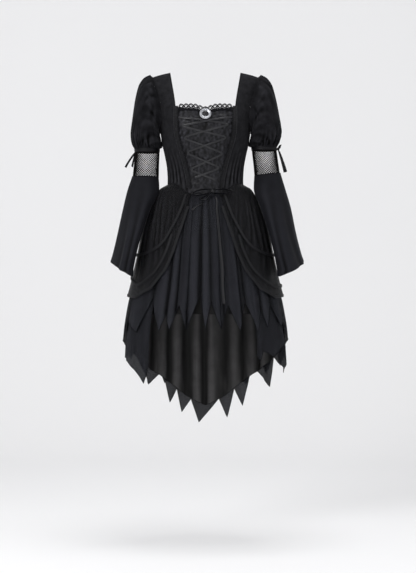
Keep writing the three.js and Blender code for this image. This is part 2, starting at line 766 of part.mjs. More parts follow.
// Gathered lace on the sweetheart edge, cut through with one eyelet to each scallop
function neckLace() {
  const perScallop = 4;
  const columns = LACE.scallops * perScallop;
  const scallopWidth = (2 * LACE.half) / LACE.scallops;
  const levels = [
    { rise: -LACE.below, wave: 0.25 },
    { rise: LACE.above, wave: 1 },
  ];
  const rows = levels.map(({ rise, wave }, r) => {
    const points = [];
    for (let c = 0; c <= columns; c++) {
      const x = mix(-LACE.half, LACE.half, c / columns);
      const phase = (2 * Math.PI * c) / perScallop;
      const scallop = r === levels.length - 1 ? (LACE.rise * (1 - Math.cos(phase))) / 2 : 0;
      const out = 1.5 + wave * LACE.ruffle * (0.5 - 0.5 * Math.cos(phase));
      points.push(panelPoint(x, sweetheartZ(x) + rise + scallop, out));
    }
    return points;
  });
  let lace = toSolid(clothWall(rows, CHIFFON, towardsMiddle(rows)));
  for (let i = 0; i < LACE.scallops; i++) {
    const x = -LACE.half + (i + 0.5) * scallopWidth;
    const eyelet = new THREE.CylinderGeometry(LACE.eyelet, LACE.eyelet, 40, 6);
    const middle = panelPoint(x, sweetheartZ(x) + LACE.above * 0.55, 0);
    eyelet.translate(middle.x, middle.y, middle.z);
    lace = lace.subtract(toSolid(eyelet));
  }
  return toGeometry(lace);
}
sew("neckline_lace", neckLace(), BLACK_TRIM);

// Braids over the seams beside the satin panel, raised along the outer edge
function braid(side) {
  const heights = [BRAID_ENDS.bottom, ...PANEL_ROWS.slice(1), BRAID_ENDS.top];
  const between = heights.slice(1).map((z, i) => (z + heights[i]) / 2);
  const sections = [];
  for (const z of [...heights, ...between].sort((a, b) => a - b)) {
    const edge = read(FRONT_EDGE, "z", "x", z);
    const top = BRAID.lift + BRAID.thickness;
    const profile = [
      [edge - BRAID.inner, BRAID.lift],
      [edge + BRAID.outer, BRAID.seat],
      [edge + BRAID.outer, BRAID.seat + BRAID.ridge],
      [edge + BRAID.ridgeTop, top + BRAID.ridge / 2],
      [edge + BRAID.ridgeFrom, top],
      [edge - BRAID.inner, top],
    ];
    sections.push(profile.map(([x, lift]) => liftedTorsoPoint(side * x, z, lift)));
  }
  return throughSections(sections);
}
sew("braid_left", braid(1), BLACK_TRIM);
sew("braid_right", braid(-1), BLACK_TRIM);

// One of the two laces that cross down the satin panel. It turns back under each braid.
function lacing(first, lift) {
  const corners = LACING_TURNS.map((row, i) => {
    const left = (i % 2 === 0) === (first === "left");
    return left ? [row.left, row.leftZ] : [row.right, row.rightZ];
  });
  const path = new THREE.CurvePath();
  const flat = corners.map(([x, z]) => vector(x, 0, z));
  const runs = flat.slice(1).map((to, i) => {
    const along = (share) => flat[i].clone().lerp(to, share);
    return [along(i ? LACING_BEND : 0), along(1 - LACING_BEND)];
  });
  runs.forEach(([from, to], i) => {
    path.add(new THREE.LineCurve3(from, to));
    if (i < runs.length - 1) path.add(new THREE.QuadraticBezierCurve3(to, flat[i + 1], runs[i + 1][0]));
  });
  const stops = [];
  path.curves.forEach((curve, i) => {
    const straight = curve.type === "LineCurve3";
    const steps = straight ? LACING_STEPS.straight : LACING_STEPS.bend;
    for (let s = i ? 1 : 0; s <= steps; s++) {
      const here = curve.getPoint(s / steps);
      const along = curve.getTangent(clamp(s / steps, 0.001, 0.999));
      const across = vector(-along.z, 0, along.x);
      const past = (Math.abs(here.x) - LACING_CROSSING.half) / LACING_CROSSING.ramp;
      const over = lift * (1 - smooth(clamp(past, 0, 1)));
      const spot = (reach) =>
        panelPoint(here.x + reach * across.x, here.z + reach * across.z, LACING_LIFT + over);
      const side = spot(1).sub(spot(-1));
      stops.push({
        at: spot(0),
        side,
        face: panelPoint(here.x, here.z, 5).sub(panelPoint(here.x, here.z, 0)),
        width: RIBBON_WIDTH,
      });
    }
  });
  return ribbon(stops);
}
sew("lacing_under", lacing("left", 0), BLACK_SATIN);
sew("lacing_over", lacing("right", LACING_OVER_LIFT), BLACK_SATIN);

// Round brooch: a ring of stones in a setting round a black domed stone
function broochPart(profile, corners) {
  const shape = new THREE.LatheGeometry(profile.map(([r, y]) => new THREE.Vector2(r, y)), corners);
  const seat = panelPoint(0, BROOCH.z, BROOCH.stand);
  const facing = seat.clone().sub(panelPoint(0, BROOCH.z, 0)).normalize();
  shape.applyQuaternion(new THREE.Quaternion().setFromUnitVectors(vector(0, 1, 0), facing));
  shape.translate(seat.x, seat.y, seat.z);
  return shape;
}
const ringProfile = [
  [BROOCH.core + 0.4, 0],
  [BROOCH.radius, 0],
  [BROOCH.radius, BROOCH.depth * 0.4],
  [BROOCH.radius - 2.5, BROOCH.depth],
  [BROOCH.core + 2.5, BROOCH.depth],
  [BROOCH.core + 0.4, BROOCH.depth * 0.5],
  [BROOCH.core + 0.4, 0],
];
const stoneProfile = [
  [0, 0],
  [BROOCH.core, 0],
  [BROOCH.core, BROOCH.depth * 0.5],
  [BROOCH.core * 0.6, BROOCH.depth * 0.95],
  [0, BROOCH.depth * 1.15],
];
sew("brooch_ring", broochPart(ringProfile, 16), SILVER_STONES);
sew("brooch_stone", broochPart(stoneProfile, 12), BLACK_STONE);

// Skirt: one layer's rows from the waist to its hem, over a list of columns
function skirtRows(columns, layer, gap) {
  const rows = [];
  const total = ROW_LEVELS.length + LOWER_ROWS;
  for (let r = 0; r < total; r++) {
    rows.push(
      columns.map(({ angle, hem, fold }) => {
        const top = waistZ(angle) - gap;
        const lowest = top - ROW_LEVELS[ROW_LEVELS.length - 1];
        const past = (r - ROW_LEVELS.length + 1) / LOWER_ROWS;
        const z = r < ROW_LEVELS.length ? top - ROW_LEVELS[r] : mix(lowest, hem, past);
        const down = clamp((top - z) / (top - Math.min(hem, FOLDS_FULL_Z)), 0, 1);
        return skirtPoint(angle, z, layer, -fold * down ** FOLD_GROWTH);
      }),
    );
  }
  return rows;
}

const acrossSkirt = (angle) => () => vector(Math.cos(radians(angle)), Math.sin(radians(angle)), 0);
function skirtWall(name, columns, layer, thickness, finish) {
  const rows = skirtRows(columns, layer, WAIST_GAP / 2);
  const [first, last] = [columns[0].angle, columns[columns.length - 1].angle];
  const seams = { first: acrossSkirt(Math.round(first)), last: acrossSkirt(Math.round(last)) };
  sew(name, clothWall(rows, thickness, (r) => vector(0, 0, rows[r][0].z), { seams }), finish);
}

// Draws a panel's two edges in from the seams at its first and last column.
const inset = (columns) =>
  columns.map((column, i) => ({
    ...column,
    angle: column.angle + SEAM_ANGLE * (i === 0) - SEAM_ANGLE * (i === columns.length - 1),
  }));
const sideColumns = (table, column, sign) =>
  inset(table.map((row) => ({ angle: row.angle, hem: row[column], fold: backFold(row.angle) }))).map(
    (row) => ({ ...row, angle: sign * row.angle }),
  );

const chiffonWall = (name, columns, layer) => skirtWall(name, columns, layer, CHIFFON, BLACK_CHIFFON);
chiffonWall("chiffon_front", inset(CHIFFON_FRONT), LAYERS.chiffon);
for (const [side, sign] of SIDES) {
  const longRows = side === "left" ? UNDER_LEFT : UNDER_RIGHT;
  chiffonWall(`chiffon_side_${side}`, sideColumns(CHIFFON_SIDE, side, sign), LAYERS.chiffon);
  chiffonWall(`under_chiffon_${side}`, sideColumns(longRows, "hem", sign), LAYERS.under);
}

// Lining: a straight front and two backs that drop to a long tail
function liningColumns(from, to, step) {
  const columns = [];
  for (let angle = from; angle <= to; angle += step) {
    const hem = read(LINING_HEM, "angle", "hem", Math.abs(angle));
    columns.push({ angle, hem, fold: backFold(angle) });
  }
  return inset(columns);
}
const liningWall = (name, columns) => skirtWall(name, columns, LAYERS.lining, SATIN, BLACK_SATIN);
liningWall("lining_front", liningColumns(-90, 90, LINING_STEP.front));
liningWall("lining_back_left", liningColumns(90, 180, LINING_STEP.back));
liningWall("lining_back_right", liningColumns(-180, -90, LINING_STEP.back));

// Net overskirt on one hip: gathered at the waist, fanning out to its swagged edge
function netColumn(share) {
  const place = share * (NET_EDGE.length - 1);
  const row = Math.min(NET_EDGE.length - 2, Math.floor(place));
  const between = (column) => mix(NET_EDGE[row][column], NET_EDGE[row + 1][column], place - row);
  return { waist: mix(NET_WAIST.front, NET_WAIST.back, share), angle: between("angle"), hem: between("hem") };
}

function netPoint(share, down, sign, lift = 0) {
  const { waist, angle, hem } = netColumn(share);
  const top = waistZ(waist) - WAIST_GAP / 2;
  return skirtPoint(sign * mix(waist, angle, down ** NET_FAN), mix(top, hem, down), LAYERS.net, lift);
}

// The middle of the cord along the net's lower edge, just clear of it.
function bindingPath(rows) {
  const [edge, above] = [rows[rows.length - 1], rows[rows.length - 2]];
  return edge.map((point, c) => {
    const along = edge[Math.min(edge.length - 1, c + 1)].clone().sub(edge[Math.max(0, c - 1)]).normalize();
    const out = point.clone().sub(above[c]).projectOnPlane(along).normalize();
    return point.clone().addScaledVector(out, CORD_DIAMETER / 2 + SEAM_GAP);
  });
}

// The middle of a cord that lies on the net along a table of angles and heights.
function swagPath(stops) {
  const points = [];
  stops.slice(1).forEach((to, i) => {
    const from = stops[i];
    const atEnd = i === 0 || i === stops.length - 2;
    const steps = atEnd ? CORD_STEPS.atEnds : CORD_STEPS.perRow;
    for (let s = i ? 1 : 0; s <= steps; s++) {
      const [angle, z] = [mix(from.angle, to.angle, s / steps), mix(from.z, to.z, s / steps)];
      points.push(skirtPoint(angle, z, LAYERS.net, CORD_DIAMETER / 2 + CORD_CLEARANCE));
    }
  });
  return points;
}

for (const [side, sign] of SIDES) {
  const shares = Array.from({ length: NET_COLUMNS + 1 }, (_, c) => c / NET_COLUMNS);
  const rows = [];
  const total = ROW_LEVELS.length + LOWER_ROWS;
  for (let r = 0; r < total; r++) {
    rows.push(
      shares.map((share, c) => {
        const { waist, hem } = netColumn(share);
        const long = waistZ(waist) - hem;
        const shares = ROW_LEVELS.map((level, i) => Math.min(level / long, NET_ROW_SHARE * i));
        const past = (r - ROW_LEVELS.length + 1) / LOWER_ROWS;
        const down = r < ROW_LEVELS.length ? shares[r] : mix(shares[shares.length - 1], 1, past);
        const fullness = smooth(clamp((down * long) / LAYERS_FULL_BELOW, 0, 1));
        const gathered = c % 2 === 0 || r === total - 1 ? 0 : -NET_GATHER * fullness;
        return netPoint(share, down, sign, gathered);
      }),
    );
  }
  sew(`net_overskirt_${side}`, clothWall(rows, CHIFFON, (r) => vector(0, 0, rows[r][0].z)), BLACK_NET);
  sew(`net_binding_${side}`, cord(bindingPath(rows)), BLACK_TRIM);
  const row = (table, column) => table.map((stop) => ({ angle: sign * stop.angle, z: stop[column] }));
  sew(`swag_upper_${side}`, cord(swagPath(row(SWAG_UPPER, "z"))), BLACK_TRIM);
  sew(`swag_lower_${side}`, cord(swagPath(row(SWAG_LOWER, side))), BLACK_TRIM);
}

// Puffed sleeve: its first ring follows the armhole, and the rest swell and close to the band
function armholeRing() {
  const front = frontLeft.slice(-ARMHOLE_ROWS - 1).map((row) => row[row.length - 1]);
  const back = backLeft.slice(-ARMHOLE_ROWS - 1).map((row) => row[row.length - 1]);
  const ring = [];
  for (let i = 0; i < AROUND_SLEEVE; i++) {
    const turn = (2 * i) / AROUND_SLEEVE;
    const line = turn <= 1 ? front : back;
    const place = (turn <= 1 ? 1 - turn : turn - 1) * ARMHOLE_ROWS;
    const row = Math.min(ARMHOLE_ROWS - 1, Math.floor(place));
    const point = line[row].clone().lerp(line[row + 1], place - row);
    ring.push(point.add(vector(ARMHOLE_GAP, 0, 0)));
  }
  return ring;
}

function puffRows() {
  const rows = [armholeRing()];
  PUFF.forEach((ring, r) => {
    const top = vector(ring.topX, 0, ring.topZ);
    const under = vector(ring.underX, 0, ring.underZ);
    const middle = top.clone().add(under).multiplyScalar(0.5);
    const reach = top.clone().sub(middle);
    const points = [];
    for (let i = 0; i < AROUND_SLEEVE; i++) {
      const turn = (2 * Math.PI * i) / AROUND_SLEEVE;
      const towardsTop = (1 + Math.cos(turn)) / 2;
      const gather = i % 2 ? PUFF_GATHERS[r] * (r < 4 ? towardsTop : 1) : 0;
      const size = 1 - gather / ring.depth;
      points.push(
        middle
          .clone()
          .addScaledVector(reach, Math.cos(turn) * size)
          .add(vector(0, -ring.depth * Math.sin(turn) * size, 0)),
      );
    }
    rows.push(points);
  });
  return rows;
}

const ringMiddle = (rows) => (r) =>
  rows[r].reduce((sum, point) => sum.add(point), vector(0, 0, 0)).multiplyScalar(1 / rows[r].length);

function roundRow(x, z, radius) {
  const points = [];
  for (let i = 0; i < AROUND_SLEEVE; i++) {
    const turn = (2 * Math.PI * i) / AROUND_SLEEVE;
    points.push(vector(x + radius * Math.cos(turn), -radius * Math.sin(turn), z));
  }
  return points;
}

// Bell sleeve: flutes that deepen to a slanting hem.
function bellRows() {
  const rows = [];
  for (let r = 0; r < BELL.length; r++) {
    const points = [];
    for (let i = 0; i < AROUND_BELL; i++) {
      const turn = (2 * Math.PI * i) / AROUND_BELL;
      const [c, s] = [Math.cos(turn), Math.sin(turn)];
      const last = r === BELL.length - 1;
      const across = (1 + Math.cos(turn + radians(BELL_HEM.turn))) / 2;
      const z = last ? mix(BELL_HEM.inner, BELL_HEM.outer, across) - BELL_HEM.dip * s : BELL[r].z;
      const down = clamp((BELL[0].z - z) / BELL_FULL_LENGTH, 0, 1.1);
      const section = (column) => read(BELL, "z", column, z);
      const reach = (section("outer") - section("inner")) / 2;
      const half = Math.sqrt(reach ** 2 - section("turn") ** 2);
      const flute = BELL_FOLD_DEPTH * down * (0.5 - 0.5 * Math.cos(BELL_FOLDS * turn));
      const y = -section("lean") - (section("depth") - flute) * s;
      const x = section("inner") + reach + (half - flute) * c - section("turn") * s;
      points.push(vector(x, y, z));
    }
    rows.push(points);
  }
  return rows;
}

// A loop of ribbon through points, its width across the given side, drawn in at the knot.
function bowLoop(points, fullWidth, side, steps) {
  const curve = new THREE.CatmullRomCurve3(points);
  const stops = [];
  for (let s = 0; s <= steps; s++) {
    const share = s / steps;
    const along = curve.getTangent(clamp(share, 0.001, 0.999));
    const width = fullWidth * Math.min(1, LOOP.atKnot + LOOP.widens * Math.min(share, 1 - share));
    stops.push({ at: curve.getPoint(share), side, face: along.cross(side), width });
  }
  return ribbon(stops);
}

// The tie on each sleeve band: a knot, two small loops and two tails.
function sleeveTie({ outX, tailZ }) {
  const around = radians(TIE.angle);
  const reach = BAND.radius + TIE.knot + SEAM_GAP;
  const seat = vector(BAND.x, 0, BAND.topZ - BAND.height / 2);
  seat.add(vector(reach * Math.cos(around), -reach * Math.sin(around), 0));
  const knot = new THREE.SphereGeometry(TIE.knot, 6, 5);
  knot.translate(seat.x, seat.y, seat.z);
  const tail = (x, y, z, twist) => {
    const stops = [];
    const steps = 4;
    for (let s = 0; s <= steps; s++) {
      const share = s / steps;
      const turn = twist + share * TIE.swing;
      stops.push({
        at: vector(mix(seat.x, x, share), mix(seat.y, y, smooth(share)), mix(seat.z, z, share ** 1.15)),
        side: vector(Math.cos(turn), Math.sin(turn), 0.3),
        face: vector(Math.sin(turn), -Math.cos(turn), 0),
        width: mix(TIE.startWidth, TIE.width, Math.min(1, share * 3)),
      });
    }
    return ribbon(stops);
  };
  const loops = TIE.loops.map(({ out, along, up }) => {
    const rising = [out, along * 0.55, up + 5];
    const falling = [out * 0.5, along * 0.5, up - 5];
    const route = [[0, 0, 0.7], rising, [out * 0.7, along, up], falling, [0, 0, -0.7]];
    const points = route.map((step) => seat.clone().add(vector(...step)));
    return bowLoop(points, TIE.width, vector(1, 0, 0.2), LOOP.smallSteps);
  });
  return joined([
    knot,
    tail(outX, TIE.frontY, tailZ, 0.3),
    tail(outX - TIE.shortX, TIE.backY, tailZ + TIE.shortZ, 1.2),
    ...loops,
  ]);
}

const puff = puffRows();
const band = [
  roundRow(BAND.x, BAND.topZ, BAND.radius),
  roundRow(BAND.x + 0.8, BAND.topZ - BAND.height, BAND.radius),
];
const fishnet = [
  roundRow(FISHNET.topX, FISHNET.topZ, FISHNET.topRadius),
  roundRow(FISHNET.bottomX, FISHNET.bottomZ, FISHNET.bottomRadius),
];
const bell = bellRows();
for (const [side, sign] of SIDES) {
  const facing = (rows) => (sign > 0 ? rows : mirrored(rows));
  const tube = (rows, thickness) =>
    clothWall(facing(rows), thickness, ringMiddle(facing(rows)), { around: true });
  sew(`puff_sleeve_${side}`, tube(puff, VELVET), BLACK_VELVET);
  sew(`sleeve_band_${side}`, tube(band, BAND.thickness), BLACK_SATIN);
  sew(`fishnet_${side}`, tube(fishnet, CHIFFON), BLACK_NET);
  sew(`bell_sleeve_${side}`, tube(bell, SATIN), BLACK_CHIFFON);
  const tie = sew(`sleeve_tie_${side}`, sleeveTie(TIE[side]), BLACK_SATIN);
  tie.scale.x = sign;
}

// A place in front of the waist, on the satin panel above the seam or on the skirt below it.
// The skirt is wider there, so the same place is at a smaller angle.
const HIP_TURN = 0.82;
function onFront(x, z, lift) {
  const angle = (Math.asin(x / TORSO_WIDTH[TORSO_WIDTH.length - 1].half) * 180) / Math.PI;
  const edge = waistZ(angle);
  return z > edge ? panelPoint(x, z, lift) : skirtPoint(angle * HIP_TURN, z, LAYERS.net, lift);
}

// The bow that ends the lacing at the waist: a knot and three loops. Each row of a loop is
// its distance across and up from the knot, and its lift from the dress.
function waistBow() {
  const seat = onFront(BOW.x, BOW.z, BOW.stand);
  const knot = new THREE.SphereGeometry(BOW.knot.radius, 7, 5);
  knot.scale(BOW.knot.wide, BOW.knot.deep, 1);
  knot.translate(seat.x, seat.y, seat.z);
  const loops = BOW.loops.map(({ width, route }) => {
    const points = route.map(([across, up, lift]) => {
      const place = onFront(BOW.x + across, BOW.z + up, lift);
      return across ? place : seat.clone().add(vector(0, 0, up));
    });
    return bowLoop(points, width, vector(0, -1, 0.5), LOOP.steps);
  });
  return joined([knot, ...loops]);
}
sew("waist_bow", waistBow(), BLACK_SATIN);

function hangingTail(route, lift) {
  const stops = route.map(({ angle, z, width }) => {
    const here = (turn) => skirtPoint(angle + turn, z, LAYERS.chiffon, lift);
    const at = here(0);
    const side = here(1).sub(here(-1));
    return { at, side, face: vector(at.x * 0.5, at.y, 0), width };
  });
  return ribbon(stops);
}
const LONG_TAIL = [
  { angle: 13.5, z: -383, width: 5 },
  { angle: 13.6, z: -403, width: 5.5 },
  { angle: 12.9, z: -430, width: 6 },
  { angle: 13, z: -480, width: 7 },
  { angle: 13.4, z: -540, width: 8 },
  { angle: 14, z: -600, width: 8.5 },
  { angle: 13.6, z: -655, width: 8.5 },
  { angle: 13.8, z: -707, width: 9 },
];
const SHORT_TAIL = [
  { angle: -3, z: -405, width: 6 },
  { angle: -7, z: -409, width: 7 },
  { angle: -11, z: -416, width: 8 },
  { angle: -14.5, z: -425, width: 9 },
];
sew("bow_tail_long", hangingTail(LONG_TAIL, 0.9), BLACK_SATIN);
sew("bow_tail_short", hangingTail(SHORT_TAIL, 0.5), BLACK_SATIN);

export default dress;
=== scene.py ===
"""A black witch dress, worn and hollow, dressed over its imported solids.

Measures are in millimetres until a mesh is laid, and metres from there on. +Z is up, the
front faces -Y, and +X is the wearer's left.
"""

from __future__ import annotations

import logging
import math
from bisect import bisect_right
from dataclasses import dataclass, replace
from enum import Enum
from typing import Callable, Sequence

import bpy
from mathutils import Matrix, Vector, noise

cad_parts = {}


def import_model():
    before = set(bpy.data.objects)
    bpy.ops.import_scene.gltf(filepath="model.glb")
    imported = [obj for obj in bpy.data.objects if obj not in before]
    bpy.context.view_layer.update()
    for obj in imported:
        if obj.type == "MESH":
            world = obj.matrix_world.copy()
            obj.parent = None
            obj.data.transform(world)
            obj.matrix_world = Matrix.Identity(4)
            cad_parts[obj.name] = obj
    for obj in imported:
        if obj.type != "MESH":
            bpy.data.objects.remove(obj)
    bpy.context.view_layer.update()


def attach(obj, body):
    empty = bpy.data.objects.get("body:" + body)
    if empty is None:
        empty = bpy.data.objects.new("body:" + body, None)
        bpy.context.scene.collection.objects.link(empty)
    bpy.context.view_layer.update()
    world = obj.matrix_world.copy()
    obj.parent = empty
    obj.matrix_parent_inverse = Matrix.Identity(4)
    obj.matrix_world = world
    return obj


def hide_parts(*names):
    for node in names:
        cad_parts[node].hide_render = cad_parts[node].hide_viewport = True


LOG = logging.getLogger("dress")
MM = 0.001
Place = Callable[[float, float], Vector]


def mix(a: float, b: float, share: float) -> float:
    """Goes from a to b by a share."""
    return a + (b - a) * share


def clamp(value: float, low: float = 0.0, high: float = 1.0) -> float:
    """Keeps a value between two limits."""
    return min(high, max(low, value))


def smooth(share: float) -> float:
    """Eases a share of 0 to 1 at both ends."""
    return share * share * (3 - 2 * share)


def wander(x: float, y: float, seed: float = 0.0) -> float:
    """A soft uneven line of about -1 to 1."""
    return noise.noise(Vector((x, y, seed)))


def wave(turns: float) -> float:
    """A wave from 0 to 1 and back in each turn."""
    return 0.5 - 0.5 * math.cos(2 * math.pi * turns)


@dataclass(frozen=True)
class Table:
    """Rows of measures, read smoothly by their first column, which rises."""

    rows: tuple[tuple[float, ...], ...]

    def read(self, at: float, column: int = 1) -> float:
        """Reads a column at any place.

        Args:
            at: The place, in the first column's measure.
            column: The column to read.

        Returns:
            The value on a curve through the rows that never overshoots them.
        """
        rows = self.rows
        last = len(rows) - 1
        at = clamp(at, rows[0][0], rows[last][0])
        low = min(last - 1, max(0, bisect_right([row[0] for row in rows], at) - 1))
        gap = rows[low + 1][0] - rows[low][0]
        share = (at - rows[low][0]) / gap
        start, end = rows[low][column], rows[low + 1][column]
        rise = (self._slope(low, column) * gap, self._slope(low + 1, column) * gap)
        square, cube = share * share, share**3
        return (
            (2 * cube - 3 * square + 1) * start
            + (cube - 2 * square + share) * rise[0]
            + (3 * square - 2 * cube) * end
            + (cube - square) * rise[1]
        )

    def _slope(self, row: int, column: int) -> float:
        """The curve's slope at a row."""

        def between(i: int) -> float:
            """The slope from one row to the next."""
            low, high = self.rows[i], self.rows[i + 1]
            return (high[column] - low[column]) / (high[0] - low[0])

        if row == 0:
            return between(0)
        if row == len(self.rows) - 1:
            return between(row - 1)
        before, after = between(row - 1), between(row)
        return 0.0 if before * after <= 0 else 2 * before * after / (before + after)


class Side(Enum):
    """A side of the wearer, with the sign of its X."""

    LEFT = 1
    RIGHT = -1

    @property
    def word(self) -> str:
        """The side's word in a node's name."""
        return self.name.lower()


class Layer(Enum):
    """A layer of the skirt: how far it lies inside the outermost one, at the waist and below."""

    NET = (-0.4, 0.0)
    CHIFFON = (1.8, 8.0)
    UNDER = (3.6, 17.0)
    LINING = (5.4, 28.0)


# Meshes


def clear_selection() -> None:
    """Leaves nothing selected."""
    bpy.ops.object.select_all(action="DESELECT")


def select_only(obj: bpy.types.Object) -> None:
    """Selects one object and makes it the active one."""
    clear_selection()
    obj.select_set(True)
    bpy.context.view_layer.objects.active = obj


def note_fold_shade(mesh: bpy.types.Mesh, across: int, closed: bool, reach: int, depth: float) -> None:
    """Notes on each point of a grid how it lies in its folds, from -1 on a ridge to 1 in a trough, as the mask of its
    painted fold shade.

    Args:
        mesh: The grid's mesh, laid in metres.
        across: Faces across it.
        closed: Whether it is a ring, whose own middle is then its inside.
        reach: Columns on each side that a point is measured against.
        depth: A fold's depth in millimetres that counts as 1.
    """
    columns = across + 1
    # The folds attribute is the mask for painted shade in troughs and painted highlight on ridges.
    folds = mesh.attributes.new("folds", "FLOAT", "POINT")
    points = [vertex.co.copy() for vertex in mesh.vertices]
    for start in range(0, len(points), columns):
        line = points[start:start + columns]
        middle = sum(line, Vector()) / columns if closed else Vector((0, 0, 0))
        for column, here in enumerate(line):
            near = Vector()
            for step in range(-reach, reach + 1):
                at = (column + step) % across if closed else min(across, max(0, column + step))
                near += line[at]
            out = Vector((here.x - middle.x, here.y - middle.y, 0)).normalized()
            inwards = (near / (2 * reach + 1) - here).dot(out)
            folds.data[start + column].value = clamp(inwards / (depth * MM), -1, 1)


def lay_cloth(
    name: str, across: int, down: int, place: Place, cut: tuple[float, float], closed: bool = False,
    folds: tuple[int, float] | None = None,
) -> bpy.types.Object:
    """Adds a grid and lays each of its points where the cloth goes.

    Args:
        name: The piece's name.
        across: Faces across the cloth.
        down: Faces down the cloth.
        place: Gives a point in millimetres from shares across and down.
        cut: The cloth's width and length in millimetres, for its weave.
        closed: Whether its two sides meet, as on a sleeve.
        folds: The reach and depth that its folds are noted with for the painted fold shade, if they are.

    Returns:
        The laid cloth, one layer thick, in metres.
    """
    clear_selection()
    bpy.ops.mesh.primitive_grid_add(x_subdivisions=across, y_subdivisions=down, size=1)
    obj = bpy.context.object
    obj.name = name
    mesh = obj.data
    mesh.name = name
    layer = mesh.uv_layers.active or mesh.uv_layers.new(name="UVMap")
    shares = [(round((v.co.x + 0.5) * across) / across, round((v.co.y + 0.5) * down) / down) for v in mesh.vertices]
    for loop in mesh.loops:
        u, v = shares[loop.vertex_index]
        layer.data[loop.index].uv = (u * cut[0] * MM, v * cut[1] * MM)
    for vertex, (u, v) in zip(mesh.vertices, shares):
        vertex.co = place(u, v) * MM
    mesh.update()
    if folds:
        note_fold_shade(mesh, across, closed, *folds)
    if closed:
        weld(obj)
    return obj


def weld(obj: bpy.types.Object) -> None:
    """Merges a piece's meeting points."""
    select_only(obj)
    bpy.ops.object.mode_set(mode="EDIT")
    bpy.ops.mesh.select_all(action="SELECT")
    bpy.ops.mesh.remove_doubles(threshold=1e-6)
    bpy.ops.object.mode_set(mode="OBJECT")


def face_outwards(obj: bpy.types.Object, inside: Callable[[Vector], Vector] | None = None) -> None:
    """Turns a cloth's faces away from its hollow side.

    Args:
        obj: The cloth, one layer thick.
        inside: Gives a point on the hollow side near a face's centre, in metres. The wearer's
            middle, if it isn't given.
    """
    out = 0.0
    for face in obj.data.polygons:
        centre = face.center
        within = inside(centre) if inside else Vector((0, 0, centre.z))
        out += face.normal.dot(centre - within) * face.area
    if out < 0:
        obj.data.flip_normals()
        obj.data.update()


def thicken(obj: bpy.types.Object, thickness: float, offset: float = -1.0) -> None:
    """Gives a cloth its thickness in millimetres, inwards from its face.

    Args:
        obj: the cloth, one face thick
        thickness: how thick it becomes
        offset: -1 grows it inwards, 0 to both sides
    """
    select_only(obj)
    wall = obj.modifiers.new("Thickness", "SOLIDIFY")
    wall.thickness = thickness * MM
    wall.offset = offset
    bpy.ops.object.modifier_apply(modifier=wall.name)


def recalculate(obj: bpy.types.Object) -> None:
    """Points the faces of closed solids outwards."""
    select_only(obj)
    bpy.ops.object.mode_set(mode="EDIT")
    bpy.ops.mesh.select_all(action="SELECT")
    bpy.ops.mesh.normals_make_consistent(inside=False)
    bpy.ops.object.mode_set(mode="OBJECT")


def join(pieces: Sequence[bpy.types.Object], name: str) -> bpy.types.Object:
    """Joins pieces into one object of that name.

    Args:
        pieces: the objects, which end up in the first one
        name: the joined object's name

    Returns:
        the joined object
    """
    clear_selection()
    for piece in pieces:
        piece.select_set(True)
    bpy.context.view_layer.objects.active = pieces[0]
    if len(pieces) > 1:
        bpy.ops.object.join()
    obj = bpy.context.object
    obj.name = name
    obj.data.name = name
    return obj


def frames(path: Sequence[Vector]) -> list[tuple[Vector, Vector]]:
    """Two directions square to a path at each of its points, turning as little as may be.

    Args:
        path: the points, in millimetres

    Returns:
        a pair of unit directions for each point
    """
    result = []
    beside = None
    for i, point in enumerate(path):
        along = (path[min(len(path) - 1, i + 1)] - path[max(0, i - 1)]).normalized()
        if beside is None:
            beside = Vector((point.x, point.y, 0.001)).cross(along)
        beside = (beside - along * beside.dot(along)).normalized()
        result.append((beside, along.cross(beside).normalized()))
    return result


def lay_cord(name: str, path: Sequence[Vector], radius: float, sides: int = 8, tip: float = 0.0) -> bpy.types.Object:
    """A round cord along a path, closed at its ends.

    Args:
        name: The piece's name.
        path: The cord's middle, in millimetres.
        radius: Its radius in millimetres.
        sides: Faces around it.
        tip: The radius at its two ends, as a share of the rest less one.

    Returns:
        The cord as a closed solid.
    """
    across = frames(path)
    rings = len(path)
    length = sum((b - a).length for a, b in zip(path, path[1:]))

    def place(u: float, v: float) -> Vector:
        """A point round the cord, or the middle of an end."""
        row = round(v * (rings + 1))
        i = min(rings - 1, max(0, row - 1))
        if row in (0, rings + 1):
            return path[i].copy()
        size = radius * (1 + (tip if i in (0, rings - 1) else 0.0))
        turn = 2 * math.pi * u
        return path[i] + across[i][0] * size * math.cos(turn) + across[i][1] * size * math.sin(turn)

    cut = (2 * math.pi * radius, length)
    obj = lay_cloth(name, sides, rings + 1, place, cut, closed=True)
    recalculate(obj)
    return obj


def twisted(name: str, path: Sequence[Vector], radius: float, pitch: float, strands: int = 2) -> bpy.types.Object:
    """A cord of strands laid round one another along a path, with its whole radius given.

    Args:
        name: the object's name
        path: its middle, in millimetres
        radius: of the whole cord
        pitch: the length of one turn
        strands: how many are laid together

    Returns:
        the cord
    """
    across = frames(path)
    run = [0.0]
    for a, b in zip(path, path[1:]):
        run.append(run[-1] + (b - a).length)
    parts = []
    for strand in range(strands):
        line = []
        for point, (beside, above), at in zip(path, across, run):
            turn = 2 * math.pi * (at / pitch + strand / strands)
            line.append(point + (beside * math.cos(turn) + above * math.sin(turn)) * radius * 0.48)
        parts.append(lay_cord(f"{name}_{strand}", line, radius * 0.56, 6))
    return join(parts, name)


def spline(points: Sequence[Vector], at: float) -> Vector:
    """A point on a smooth curve through points, at a share of their number.

    Args:
        points: at least two
        at: from 0 at the first to 1 at the last

    Returns:
        the point
    """
    place = clamp(at) * (len(points) - 1)
    i = min(len(points) - 2, int(place))
    t = place - i
    before = points[i - 1] if i else points[0] * 2 - points[1]
    after = points[i + 2] if i + 2 < len(points) else points[-1] * 2 - points[-2]
    a, b = points[i], points[i + 1]
    return 0.5 * (
        2 * a
        + (b - before) * t
        + (2 * before - 5 * a + 4 * b - after) * t**2
        + (3 * a - before - 3 * b + after) * t**3
    )


